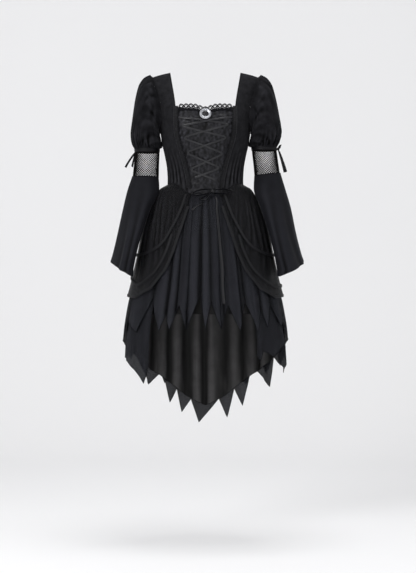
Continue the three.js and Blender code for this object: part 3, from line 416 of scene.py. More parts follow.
def along_path(points: Sequence[Vector], step: float) -> list[Vector]:
    """Points on a smooth curve through others, about a step apart.

    Args:
        points: the curve's own points
        step: how far apart, in millimetres

    Returns:
        the points, ends included
    """
    length = sum((b - a).length for a, b in zip(points, points[1:]))
    count = max(4, round(length / step))
    return [spline(points, i / count) for i in range(count + 1)]


@dataclass(frozen=True)
class Stop:
    """A place on a ribbon: its middle, the way its width lies, the way it faces, its width."""

    at: Vector
    side: Vector
    face: Vector
    width: float


def lay_ribbon(
    name: str, stops: Sequence[Stop], thickness: float, cup: float = 0.0, steps: int = 6
) -> bpy.types.Object:
    """A ribbon through stops.

    Args:
        name: The piece's name.
        stops: Its places, in order.
        thickness: Its thickness in millimetres, laid towards its face.
        cup: How far its middle stands out from its edges, in millimetres.
        steps: Faces between two stops.

    Returns:
        The ribbon as a closed solid.
    """
    middles = [stop.at for stop in stops]
    sides = [stop.side.normalized() for stop in stops]
    facing = [stop.face.normalized() for stop in stops]
    widths = [Vector((stop.width, 0, 0)) for stop in stops]
    length = sum((b - a).length for a, b in zip(middles, middles[1:]))

    def place(u: float, v: float) -> Vector:
        """A point across the ribbon and along it."""
        side, face = spline(sides, v).normalized(), spline(facing, v).normalized()
        width = spline(widths, v).x
        lift = cup * (1 - (2 * u - 1) ** 2) + thickness
        return spline(middles, v) + side * width * (u - 0.5) + face * lift

    widest = max(stop.width for stop in stops)
    obj = lay_cloth(name, 6, steps * (len(stops) - 1), place, (widest, length))
    turned = sum(face.normal.dot(facing[len(facing) // 2]) for face in obj.data.polygons)
    if turned < 0:
        obj.data.flip_normals()
    thicken(obj, thickness)
    return obj


def dress(
    obj: bpy.types.Object, finish: "Finish", nodes: Sequence[str] = (), angle: float = 60.0
) -> bpy.types.Object:
    """Gives a piece its finish and its place in the frame.

    Args:
        obj: The piece.
        finish: Its finish.
        nodes: The solids it stands for.
        angle: Edges sharper than this many degrees stay sharp.

    Returns:
        The piece.
    """
    obj.data.materials.clear()
    obj.data.materials.append(finish.material())
    select_only(obj)
    bpy.ops.object.shade_smooth_by_angle(angle=math.radians(angle))
    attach(obj, "root")
    if nodes:
        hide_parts(*nodes)
    LOG.info("%s: %d faces", obj.name, len(obj.data.polygons))
    return obj


@dataclass(frozen=True)
class Cut:
    """A cloth's flat cut: its width and length in millimetres, and its area in square metres."""

    width: float
    length: float
    area: float | None = None

    @property
    def size(self) -> tuple[float, float]:
        """Width and length in millimetres."""
        return self.width, self.length


FRONT_CUT = Cut(190, 370, 0.033)
BACK_CUT = Cut(205, 350, 0.052)
SATIN_CUT = Cut(200, 255, 0.039)
LACE_CUT = Cut(210, 20)
CHIFFON_FRONT_CUT = Cut(660, 430, 0.20)
CHIFFON_SIDE_CUT = Cut(480, 680, 0.215)
UNDER_CUT = Cut(600, 760, 0.28)
LINING_FRONT_CUT = Cut(700, 400, 0.20)
LINING_BACK_CUT = Cut(360, 700, 0.17)
NET_CUT = Cut(620, 330, 0.165)
PUFF_CUT = Cut(470, 250, 0.085)
BAND_CUT = Cut(256, 13.5)
FISHNET_CUT = Cut(250, 70)
BELL_CUT = Cut(560, 310, 0.115)


# Finishes


class Weave(Enum):
    """How a cloth's surface is made."""

    PILE = "pile"
    SATIN = "satin"
    PLAIN = "plain"
    CREPE = "crepe"
    NET = "net"
    LACE = "lace"
    CORD = "cord"


class Nodes:
    """A material's nodes, made and linked one by one."""

    def __init__(self, name: str) -> None:
        """Starts an empty material with a surface shader."""
        self.material = bpy.data.materials.new(name)
        self.material.use_nodes = True
        self.tree = self.material.node_tree
        self.tree.nodes.clear()
        self.surface = self.add("ShaderNodeBsdfPrincipled")
        output = self.add("ShaderNodeOutputMaterial")
        self.link(self.surface.outputs[0], output.inputs["Surface"])

    def add(self, kind: str, options: dict[str, object] | None = None, **values: object) -> bpy.types.Node:
        """Adds a node.

        Args:
            kind: The node's type.
            options: The node's own settings.
            values: Its sockets' values, with underscores for spaces.

        Returns:
            The node.
        """
        node = self.tree.nodes.new(kind)
        for key, value in (options or {}).items():
            setattr(node, key, value)
        for key, value in values.items():
            node.inputs[key.replace("_", " ")].default_value = value
        return node

    def link(self, source: bpy.types.NodeSocket, target: bpy.types.NodeSocket) -> None:
        """Links two sockets."""
        self.tree.links.new(source, target)

    def math(self, operation: str, first: bpy.types.NodeSocket, second: object) -> bpy.types.NodeSocket:
        """Does one sum on a socket and a number or another socket.

        Args:
            operation: the math node's operation
            first: a socket
            second: a number or a socket

        Returns:
            the result
        """
        node = self.add("ShaderNodeMath", {"operation": operation})
        self.link(first, node.inputs[0])
        if isinstance(second, (int, float)):
            node.inputs[1].default_value = second
        else:
            self.link(second, node.inputs[1])
        return node.outputs[0]

    def bump(
        self, height: bpy.types.NodeSocket, strength: float, distance: float,
        before: bpy.types.NodeSocket | None = None,
    ) -> bpy.types.NodeSocket:
        """Raises the surface by a height, in metres, on top of an earlier bump.

        Args:
            height: a socket from 0 to 1
            strength: how far it tilts the light
            distance: the full height
            before: the earlier bump's normal

        Returns:
            the new normal
        """
        node = self.add("ShaderNodeBump", Strength=strength, Distance=distance)
        self.link(height, node.inputs["Height"])
        if before is not None:
            self.link(before, node.inputs["Normal"])
        return node.outputs[0]


@dataclass(frozen=True)
class Finish:
    """A finish on one of the record's slots."""

    name: str
    slot: str
    color: tuple[float, float, float]
    roughness: float

    def material(self) -> bpy.types.Material:
        """The finish's material, made once."""
        return bpy.data.materials.get(self.name) or self.make()

    def make(self) -> bpy.types.Material:
        """Makes the material."""
        raise NotImplementedError


@dataclass(frozen=True)
class ClothFinish(Finish):
    """A cloth: its weave, sheen, creases, painted fold shade and how much it lets through."""

    shade: tuple[float, float, float] = (0.005, 0.005, 0.006)
    weave: Weave = Weave.PLAIN
    thread: float = 0.6
    bump: float = 0.5
    sheen: float = 0.0
    sheen_roughness: float = 0.4
    sheen_tint: tuple[float, float, float] = (0.5, 0.5, 0.55)
    gloss: float = 0.4
    anisotropic: float = 0.0
    opacity: float = 1.0
    crease: float = 0.0
    crease_size: float = 22.0
    cloud: float = 30.0
    mottle: float = 0.7
    # strength of the painted fold shade; below 0 it paints highlight in the outer troughs and shade on the outer ridges
    folds: float = 0.0

    def make(self) -> bpy.types.Material:
        """Makes the cloth from its own UV map and a soft cloudiness on its object."""
        nodes = Nodes(self.name)
        surface = nodes.surface
        sockets = {
            "Roughness": self.roughness,
            "Sheen Weight": self.sheen,
            "Sheen Roughness": self.sheen_roughness,
            "Sheen Tint": (*self.sheen_tint, 1),
            "Specular IOR Level": self.gloss,
            "Anisotropic": self.anisotropic,
        }
        for socket, value in sockets.items():
            surface.inputs[socket].default_value = value
        uv = nodes.add("ShaderNodeUVMap")
        place = nodes.add("ShaderNodeTexCoord")
        threads = self.threads(nodes, uv.outputs[0])
        cloud = nodes.add("ShaderNodeTexNoise", Scale=1000 / self.cloud, Detail=3.0, Roughness=0.6)
        nodes.link(place.outputs["Object"], cloud.inputs["Vector"])
        share = nodes.math("MULTIPLY_ADD", cloud.outputs["Fac"], self.mottle)
        share.node.inputs[2].default_value = 0.25 - self.mottle / 2
        both = nodes.add("ShaderNodeMath", {"operation": "MULTIPLY_ADD", "use_clamp": True})
        nodes.link(threads, both.inputs[0])
        both.inputs[1].default_value = 0.5
        nodes.link(share, both.inputs[2])
        color = nodes.add("ShaderNodeMix", {"data_type": "RGBA"})
        nodes.link(both.outputs[0], color.inputs["Factor"])
        color.inputs[6].default_value = (*self.shade, 1)
        color.inputs[7].default_value = (*self.color, 1)
        nodes.link(color.outputs[2], surface.inputs["Base Color"])
        # painted shade in the troughs of the noted folds and painted highlight on their ridges
        if self.folds:
            self.paint_fold_shade(nodes, color.outputs[2])
        normal = nodes.bump(threads, self.bump, self.thread * MM * 0.5)
        if self.crease:
            crumple = nodes.add("ShaderNodeTexNoise", Scale=1000 / self.crease_size, Detail=4.0, Distortion=0.8)
            nodes.link(place.outputs["Object"], crumple.inputs["Vector"])
            normal = nodes.bump(crumple.outputs["Fac"], 0.6, self.crease * MM, normal)
        nodes.link(normal, surface.inputs["Normal"])
        if self.opacity < 1:
            nodes.link(self.cover(nodes, threads), surface.inputs["Alpha"])
        return nodes.material

    def paint_fold_shade(self, nodes: Nodes, color: bpy.types.NodeSocket) -> None:
        """Paints shade into the cloth's colour in its troughs and a painted highlight on its ridges."""
        noted = nodes.add("ShaderNodeAttribute", {"attribute_name": "folds"})
        share = nodes.math("MULTIPLY_ADD", noted.outputs["Fac"], -self.folds)
        share.node.inputs[2].default_value = 1.0
        scaled = nodes.add("ShaderNodeVectorMath", {"operation": "SCALE"})
        nodes.link(color, scaled.inputs[0])
        nodes.link(share, scaled.inputs["Scale"])
        nodes.link(scaled.outputs[0], nodes.surface.inputs["Base Color"])

    def threads(self, nodes: Nodes, uv: bpy.types.NodeSocket) -> bpy.types.NodeSocket:
        """The height of the weave, from 0 to 1."""
        scale = 1 / (self.thread * MM)
        spread = nodes.add("ShaderNodeMapping")
        nodes.link(uv, spread.inputs["Vector"])
        if self.weave in (Weave.PILE, Weave.CREPE):
            spread.inputs["Scale"].default_value = (scale, scale, scale)
            grain = nodes.add("ShaderNodeTexNoise", Scale=1.0, Detail=3.0, Roughness=0.7)
            nodes.link(spread.outputs[0], grain.inputs["Vector"])
            return grain.outputs["Fac"]
        if self.weave is Weave.SATIN:
            spread.inputs["Scale"].default_value = (scale, scale * 0.12, scale)
            grain = nodes.add("ShaderNodeTexNoise", Scale=1.0, Detail=3.0, Roughness=0.75)
            nodes.link(spread.outputs[0], grain.inputs["Vector"])
            return grain.outputs["Fac"]
        if self.weave is Weave.CORD:
            spread.inputs["Scale"].default_value = (scale, scale, scale)
            spread.inputs["Rotation"].default_value = (0, 0, math.radians(35))
            line = nodes.add("ShaderNodeTexWave", Scale=1 / 3.1, Distortion=1.0, Detail=1.0)
            nodes.link(spread.outputs[0], line.inputs["Vector"])
            return line.outputs["Fac"]
        if self.weave in (Weave.NET, Weave.LACE):
            spread.inputs["Scale"].default_value = (scale, scale, scale)
            cells = nodes.add("ShaderNodeTexVoronoi", {"feature": "DISTANCE_TO_EDGE", "voronoi_dimensions": "2D"})
            cells.inputs["Scale"].default_value = 1.0
            cells.inputs["Randomness"].default_value = 0.35
            nodes.link(spread.outputs[0], cells.inputs["Vector"])
            ridge = nodes.add("ShaderNodeMapRange", {"clamp": True})
            nodes.link(cells.outputs["Distance"], ridge.inputs["Value"])
            ridge.inputs["From Min"].default_value = 0.08
            ridge.inputs["From Max"].default_value = 0.2
            ridge.inputs["To Min"].default_value = 1.0
            ridge.inputs["To Max"].default_value = 0.0
            return ridge.outputs["Result"]
        spread.inputs["Scale"].default_value = (scale, scale, scale)
        lines = []
        for direction in ("X", "Y"):
            band = nodes.add("ShaderNodeTexWave", {"bands_direction": direction}, Scale=1 / 3.1)
            nodes.link(spread.outputs[0], band.inputs["Vector"])
            lines.append(band.outputs["Fac"])
        return nodes.math("MULTIPLY", lines[0], lines[1])

    def cover(self, nodes: Nodes, threads: bpy.types.NodeSocket) -> bpy.types.NodeSocket:
        """How much of the cloth is thread, from 0 to 1."""
        if self.weave in (Weave.NET, Weave.LACE):
            node = nodes.add("ShaderNodeMath", {"operation": "MULTIPLY_ADD", "use_clamp": True})
            nodes.link(threads, node.inputs[0])
            node.inputs[1].default_value = 1 - self.opacity
            node.inputs[2].default_value = self.opacity
            return node.outputs[0]
        node = nodes.add("ShaderNodeMath", {"operation": "MULTIPLY_ADD", "use_clamp": True})
        nodes.link(threads, node.inputs[0])
        node.inputs[1].default_value = 0.2
        node.inputs[2].default_value = self.opacity - 0.1
        return node.outputs[0]


@dataclass(frozen=True)
class StoneFinish(Finish):
    """Polished stone or its silver setting, a little uneven."""

    metallic: float = 0.0
    coat: float = 0.0
    ior: float = 1.5

    def make(self) -> bpy.types.Material:
        """Makes the material with faint wear in its polish."""
        nodes = Nodes(self.name)
        surface = nodes.surface
        surface.inputs["Metallic"].default_value = self.metallic
        surface.inputs["Coat Weight"].default_value = self.coat
        surface.inputs["IOR"].default_value = self.ior
        place = nodes.add("ShaderNodeTexCoord")
        wear = nodes.add("ShaderNodeTexNoise", Scale=900.0, Detail=2.0)
        nodes.link(place.outputs["Object"], wear.inputs["Vector"])
        color = nodes.add("ShaderNodeMix", {"data_type": "RGBA"})
        nodes.link(wear.outputs["Fac"], color.inputs["Factor"])
        color.inputs[6].default_value = (*(c * 0.8 for c in self.color), 1)
        color.inputs[7].default_value = (*self.color, 1)
        nodes.link(color.outputs[2], surface.inputs["Base Color"])
        rough = nodes.math("MULTIPLY_ADD", wear.outputs["Fac"], 0.08)
        rough.node.inputs[2].default_value = self.roughness - 0.04
        nodes.link(rough, surface.inputs["Roughness"])
        return nodes.material


# A finish's folds sets its painted shade in the troughs of its noted folds and its painted highlight on their ridges.
VELVET = ClothFinish(
    "black_velvet", "velvet", (0.02, 0.02, 0.0225), 0.85, (0.003, 0.003, 0.0036), Weave.PILE, 0.5, 0.35,
    # The mottle is partly the crushed pile's own uneven tone and partly painted sheen.
    sheen=0.1, sheen_roughness=0.3, sheen_tint=(0.28, 0.28, 0.31), gloss=0.05, crease=0.9, cloud=15, mottle=1.1,
    folds=0.9,
)
# A darker copy of the velvet for the puffs: painted shade for their sides turned from the light and shaded below.
SHADED_PUFF_VELVET = replace(
    VELVET, name="shaded_puff_velvet", color=(0.013, 0.013, 0.015), shade=(0.001, 0.001, 0.0014),
    sheen=0.055, cloud=28, mottle=1.2,
)
SATIN = ClothFinish(
    "black_satin", "satin", (0.017, 0.017, 0.0205), 0.42, (0.001, 0.001, 0.0014), Weave.SATIN, 0.5, 0.5,
    # The wide mottle is partly the satin's own uneven tone and partly painted highlight and shade of its sheen over the
    # pulls.
    gloss=0.125, anisotropic=0.3, crease=2.6, crease_size=17, cloud=13, mottle=2.2, folds=0.85,
)
RIBBON = ClothFinish(
    "satin_ribbon", "ribbon", (0.007, 0.007, 0.009), 0.34, (0.003, 0.003, 0.004), Weave.SATIN, 0.35, 0.3,
    gloss=0.24, anisotropic=0.4, crease=0.4, crease_size=12, cloud=14, mottle=1.2,
)
LACING = replace(RIBBON, name="lacing_ribbon", color=(0.02, 0.02, 0.0235), shade=(0.004, 0.004, 0.005), gloss=0.25)
SLEEVE_RIBBON = replace(
    RIBBON, name="sleeve_ribbon", color=(0.006, 0.006, 0.008), shade=(0.0015, 0.0015, 0.002),
    gloss=0.12, roughness=0.45,
)
# The lining's negative folds paint a highlight in its outer troughs, the ridges of its shiny inner face, and painted
# shade on its outer ridges.
LINING = ClothFinish(
    "lining_satin", "lining", (0.042, 0.041, 0.042), 0.42, (0.007, 0.0069, 0.007), Weave.SATIN, 0.9, 0.5,
    gloss=0.1, anisotropic=0.3, crease=0.5, crease_size=40, cloud=45, folds=-0.97,
)
CHIFFON = ClothFinish(
    "black_chiffon", "chiffon", (0.015, 0.0156, 0.019), 0.8, (0.0062, 0.0065, 0.0083), Weave.CREPE, 0.5, 0.3,
    sheen=0.05, sheen_roughness=0.5, sheen_tint=(0.4, 0.42, 0.5), gloss=0.08, opacity=0.83, crease=0.4, crease_size=35,
    folds=0.75,
)
HEM_ROLL = ClothFinish(
    "rolled_chiffon", "chiffon", (0.004, 0.0042, 0.0055), 0.8, (0.002, 0.002, 0.003), Weave.CREPE, 0.8, 0.4, gloss=0.08,
)
CREPE = ClothFinish(
    "black_crepe", "crepe", (0.0082, 0.0084, 0.0104), 0.75, (0.002, 0.0021, 0.003), Weave.CREPE, 0.7, 0.4,
    sheen=0.04, sheen_roughness=0.45, sheen_tint=(0.42, 0.43, 0.5), gloss=0.065, crease=0.4, crease_size=40, cloud=60,
    folds=0.95,
)
NET = ClothFinish(
    "black_net", "net", (0.0155, 0.0155, 0.018), 0.5, (0.001, 0.001, 0.0015), Weave.NET, 1.7, 0.8,
    # The small cloud and wide mottle make a fine speckle of painted glints on the threads.
    gloss=0.13, opacity=0.78, cloud=5, mottle=1.9, folds=0.55,
)
FISHNET_THREAD = ClothFinish(
    "fishnet_thread", "net", (0.006, 0.0052, 0.005), 0.8, (0.002, 0.0018, 0.0018), Weave.CREPE, 0.4, 0.4, gloss=0.06,
)
LACE = ClothFinish(
    "cotton_lace", "lace", (0.006, 0.006, 0.008), 0.75, (0.002, 0.002, 0.003), Weave.CREPE, 0.55, 0.8, gloss=0.1,
)
TRIM = ClothFinish(
    "corded_trim", "trim", (0.012, 0.012, 0.0145), 0.6, (0.0015, 0.0015, 0.002), Weave.CORD, 0.7, 0.9,
    gloss=0.16, cloud=6, mottle=2.0,
)
BRAID_EDGE = replace(
    TRIM, name="braid_edge", color=(0.028, 0.028, 0.032), shade=(0.01, 0.01, 0.012), gloss=0.2, mottle=1.0
)
CORDING = ClothFinish(
    "piped_cord", "trim", (0.013, 0.0131, 0.0155), 0.55, (0.005, 0.005, 0.006), Weave.PLAIN, 0.4, 0.3, gloss=0.18,
)
CLEAR_STONE = StoneFinish("clear_stones", "rhinestones", (0.8, 0.81, 0.85), 0.1, metallic=0.85)
SILVER = StoneFinish("silver_setting", "rhinestones", (0.45, 0.46, 0.49), 0.3, metallic=1.0)
JET = StoneFinish("black_cut_stone", "black_stone", (0.006, 0.006, 0.008), 0.3, ior=1.42)


# The dress's form


@dataclass(frozen=True)
class DressForm:
    """The surfaces that the dress's solids follow."""

    seam_gap: float = 0.3
    waist_gap: float = 0.8
    neck_half: float = 110.0
    shoulder_half: float = 162.0
    neck_z: float = 6.0
    shoulder_z: float = -8.0
    waist_side_z: float = -341.0
    waist_drop: float = 31.0
    layers_full_below: float = 130.0
    bust: tuple[float, float, float, float] = (70.0, -168.0, 48.0, 10.0)
    torso_width: Table = Table((
        (-380, 119), (-325, 117), (-290, 119), (-250, 126), (-215, 134), (-182, 139), (-150, 144),
        (-120, 150), (-90, 157), (-60, 165), (-30, 172), (10, 178),
    ))
    torso_depth: Table = Table((
        (-4, 0, 0), (0, 0, 0), (7, 24, 22), (25, 46, 44), (55, 66, 66), (90, 84, 84), (130, 102, 93),
        (170, 112, 95), (215, 108, 90), (260, 97, 81), (300, 88, 75), (340, 84, 72), (380, 84, 72),
    ))
    skirt: Table = Table((
        (-10, 116, 84, 71), (0, 118, 84, 72), (12, 139, 94, 94), (31, 153, 105, 111), (62, 168, 117, 130),
        (102, 183, 130, 146), (146, 197, 142, 160), (217, 212, 155, 178), (276, 225, 164, 190),
        (310, 233, 169, 197), (359, 246, 174, 205), (390, 252, 177, 210), (459, 263, 181, 216),
        (559, 268, 185, 222), (659, 272, 189, 226), (790, 276, 192, 230),
    ))

    def waist_z(self, angle: float) -> float:
        """Height of the waist seam at an angle from the centre front."""
        return self.waist_side_z - self.waist_drop * (1 - smooth(clamp((abs(angle) - 20) / 33)))

    def torso_angle(self, x: float) -> float:
        """The angle from the centre front at a distance across the waist."""
        return math.degrees(math.asin(clamp(x / self.torso_width.rows[0][1], -1, 1)))

    def torso_point(self, x: float, z: float, front: bool) -> Vector:
        """A point on the bodice's outer face.

        Args:
            x: across, in millimetres
            z: the height
            front: the front face, or else the back

        Returns:
            the point
        """
        half = self.torso_width.read(z)
        share = (clamp(abs(x), self.neck_half, self.shoulder_half) - self.neck_half) / (
            self.shoulder_half - self.neck_half
        )
        below = mix(self.neck_z, self.shoulder_z, share) - z
        depth = self.torso_depth.read(below, 1 if front else 2)
        across = clamp(x / half, -1, 1)
        bust_x, bust_z, radius, height = self.bust
        away = math.hypot(abs(x) - bust_x, z - bust_z) / radius
        cup = height * math.exp(-away * away) if front else 0.0
        y = depth * math.sqrt(1 - across * across) + cup
        return Vector((x, -y if front else y, z))

    def panel_point(self, x: float, z: float, lift: float) -> Vector:
        """A point over the front of the bodice, lifted from it.

        Args:
            x: across, in millimetres
            z: the height
            lift: how far out from the face

        Returns:
            the point
        """
        step = 2.0
        along = self.torso_point(x + step, z, True) - self.torso_point(x - step, z, True)
        up = self.torso_point(x, z + step, True) - self.torso_point(x, z - step, True)
        point = self.torso_point(x, z, True) + along.cross(up).normalized() * lift
        point.y -= self.seam_gap / 2
        return point

    def skirt_point(self, angle: float, z: float, layer: Layer, lift: float = 0.0) -> Vector:
        """A point on a layer of the skirt, lifted from it.

        Args:
            angle: from the front, in degrees
            z: the height
            layer: which layer
            lift: how far out from it

        Returns:
            the point
        """
        below = self.waist_z(angle) - z
        fullness = smooth(clamp(below / self.layers_full_below))
        inset = mix(*layer.value, fullness) - lift
        depth_column = 2 if abs(angle) <= 90 else 3

        def size(column: int) -> float:
            """The layer's reach from the axis, square to the slope."""
            slope = (self.skirt.read(below + 3, column) - self.skirt.read(below - 3, column)) / 6
            return self.skirt.read(below, column) - inset * math.hypot(1, slope)

        turn = math.radians(angle)
        return Vector((size(1) * math.sin(turn), -size(depth_column) * math.cos(turn), z))

    def front_point(self, x: float, z: float, lift: float) -> Vector:
        """A place in front of the waist: on the panel above its seam, on the skirt below it.

        Args:
            x: across, in millimetres
            z: the height
            lift: how far out from the cloth

        Returns:
            the point
        """
        angle = self.torso_angle(x)
        if z > self.waist_z(angle):
            return self.panel_point(x, z, lift)
        return self.skirt_point(angle * 0.82, z, Layer.NET, lift)


FORM = DressForm()


# Bodice

FRONT_EDGE = (
    (51, -364, -341), (54, -336, -318), (60, -303, -290), (69, -266, -258), (78, -235, -226),
    (86, -206, -182), (90, -179, -145), (91.5, -141, -114), (92, -105, -84), (97, -69, -55),
    (103, -35, -30), (110, 6, -8),
)
BACK_EDGE = (
    (0, -341, -341), (0, -318, -318), (0, -290, -290), (0, -256, -256), (0, -222, -222),
    (0, -186, -182), (0, -152, -145), (0, -126, -114), (0, -104, -84), (98, -97, -55),
    (105, -45, -30), (110, 6, -8),
)
ARMHOLE = (133, 135, 142, 151, 158, 162)
FRONT_EDGE_BY_HEIGHT = Table(tuple((z, x) for x, z, _ in FRONT_EDGE))


@dataclass
class Bodice:
    """The velvet bodice: two fronts and two backs, with their seams and neck edge."""

    velvet: ClothFinish = VELVET
    thickness: float = 1.2
    gathers: float = 4.2
    gathered_rows: float = 4.6
    waves: int = 7
    across: int = 56
    down: int = 88
    welt: float = 0.9

    def rows(self, front: bool) -> Table:
        """One quarter's rows: angle at the edge and at the side, height at each."""
        result = []
        edge = FRONT_EDGE if front else BACK_EDGE
        for row, (x, z, side_z) in enumerate(edge):
            start = math.asin(clamp(x / FORM.torso_width.read(z), -1, 1))
            end = math.pi / 2
            if row > 5:
                end = math.asin(clamp(ARMHOLE[row - 6] / FORM.torso_width.read(side_z), -1, 1))
            result.append((row, start, end, z, side_z))
        return Table(tuple(result))

    def point(self, rows: Table, front: bool, share: float, row: float) -> Vector:
        """A point on one quarter's outer face, from the edge to the side and up its rows.

        Args:
            rows: the quarter's rows
            front: whether it is a front
            share: from 0 at the edge to 1 at the side
            row: from 0 at the lowest row

        Returns:
            the point
        """
        turn = mix(rows.read(row, 1), rows.read(row, 2), share)
        z = mix(rows.read(row, 3), rows.read(row, 4), share)
        if row < 1:
            waist = FORM.waist_z(math.degrees(turn) if front else 90) + FORM.waist_gap / 2
            z = mix(waist, mix(rows.read(1, 3), rows.read(1, 4), share), row)
        point = FORM.torso_point(FORM.torso_width.read(z) * math.sin(turn), z, front)
        fade = 1 - smooth(clamp(row / self.gathered_rows))
        edge = smooth(clamp(share / 0.06)) * smooth(clamp((1 - share) / 0.06))
        phase = share * self.waves + 0.5 * wander(share * 5, row * 0.35, 3.0 if front else 8.0)
        depth = self.gathers * fade * edge * wave(phase) * (0.8 + 0.5 * wander(share * 9, row * 0.2, 5.0))
        depth *= 0.35 + 0.65 * smooth(clamp(row / 0.8))
        drift = 0.7 * edge * wander(share * 3.5, row * 0.8, 12.0)
        out = Vector((point.x, point.y, 0)).normalized()
        point -= out * (depth - min(0.0, drift) * 1.0)
        point.y += (-1 if front else 1) * FORM.seam_gap / 2
        if not front and share == 0:
            point.x = max(point.x, FORM.seam_gap / 2)
        return point

    def quarter(self, side: Side, front: bool) -> bpy.types.Object:
        """Lays and dresses one quarter of the bodice."""
        rows = self.rows(front)
        last = len(rows.rows) - 1

        def place(u: float, v: float) -> Vector:
            """A point on the quarter, on its own side."""
            point = self.point(rows, front, u, v * last)
            point.x *= side.value
            return point

        word = "front" if front else "back"
        name = f"velvet_{word}_{side.word}"
        cut = FRONT_CUT if front else BACK_CUT
        obj = lay_cloth(name, self.across, self.down, place, cut.size, folds=(4, 1.5))
        face_outwards(obj)
        thicken(obj, self.thickness)
        dress(obj, self.velvet, [f"bodice_{word}_{side.word}"])
        return obj

    def seam(self, name: str, points: Sequence[Vector], radius: float) -> bpy.types.Object:
        """A rolled edge or welt along a line."""
        obj = lay_cord(name, along_path(points, 4), radius, 7)
        return dress(obj, self.velvet)

    def edges(self, side: Side) -> list[bpy.types.Object]:
        """The rolled neck edge and the welts of the shoulder and side seams."""
        result = []
        front, back = self.rows(True), self.rows(False)

        def line(
            rows: Table, is_front: bool, share: float, start: float, end: float, inwards: float = 0.5
        ) -> list[Vector]:
            """A line up one quarter's face, a little inside it."""
            points = []
            for i in range(25):
                point = self.point(rows, is_front, share, mix(start, end, i / 24))
                out = Vector((point.x, point.y, 0)).normalized()
                point -= out * inwards
                point.x *= side.value
                points.append(point)
            return points

        result.append(self.seam(f"neck_roll_{side.word}", line(front, True, 0, 8, 11), self.welt))
        result.append(self.seam(f"back_neck_roll_{side.word}", line(back, False, 0, 9, 11), self.welt))
        result.append(self.seam(f"side_seam_{side.word}", line(front, True, 1, 0.1, 4.9), self.welt * 0.8))
        shoulder = []
        for i in range(13):
            point = self.point(front, True, mix(0.01, 0.99, i / 12), 11)
            shoulder.append(Vector((point.x * side.value, 0, point.z - 0.4)))
        result.append(self.seam(f"shoulder_seam_{side.word}", shoulder, self.welt * 0.9))
        return result

    def centre_seam(self) -> bpy.types.Object:
        """The welt down the centre back, from the square neck to the waist."""
        rows = self.rows(False)
        points = []
        for i in range(25):
            point = self.point(rows, False, 0, mix(0.1, 8.9, i / 24))
            points.append(Vector((0, point.y - 0.5, point.z)))
        return self.seam("centre_back_seam", points, self.welt)

    def waist_seam(self) -> bpy.types.Object:
        """The narrow piping round the waist."""
        points = []
        for i in range(181):
            angle = mix(-180, 180, i / 180)
            z = FORM.waist_z(angle)
            point = FORM.skirt_point(angle, z, Layer.CHIFFON, 0.6)
            points.append(point)
        return dress(lay_cord("waist_piping", points, 1.3, 7), self.velvet)

    def build(self) -> None:
        """Builds the bodice."""
        for side in Side:
            self.quarter(side, True)
            self.quarter(side, False)
            self.edges(side)
        self.centre_seam()
        self.waist_seam()


# The satin front


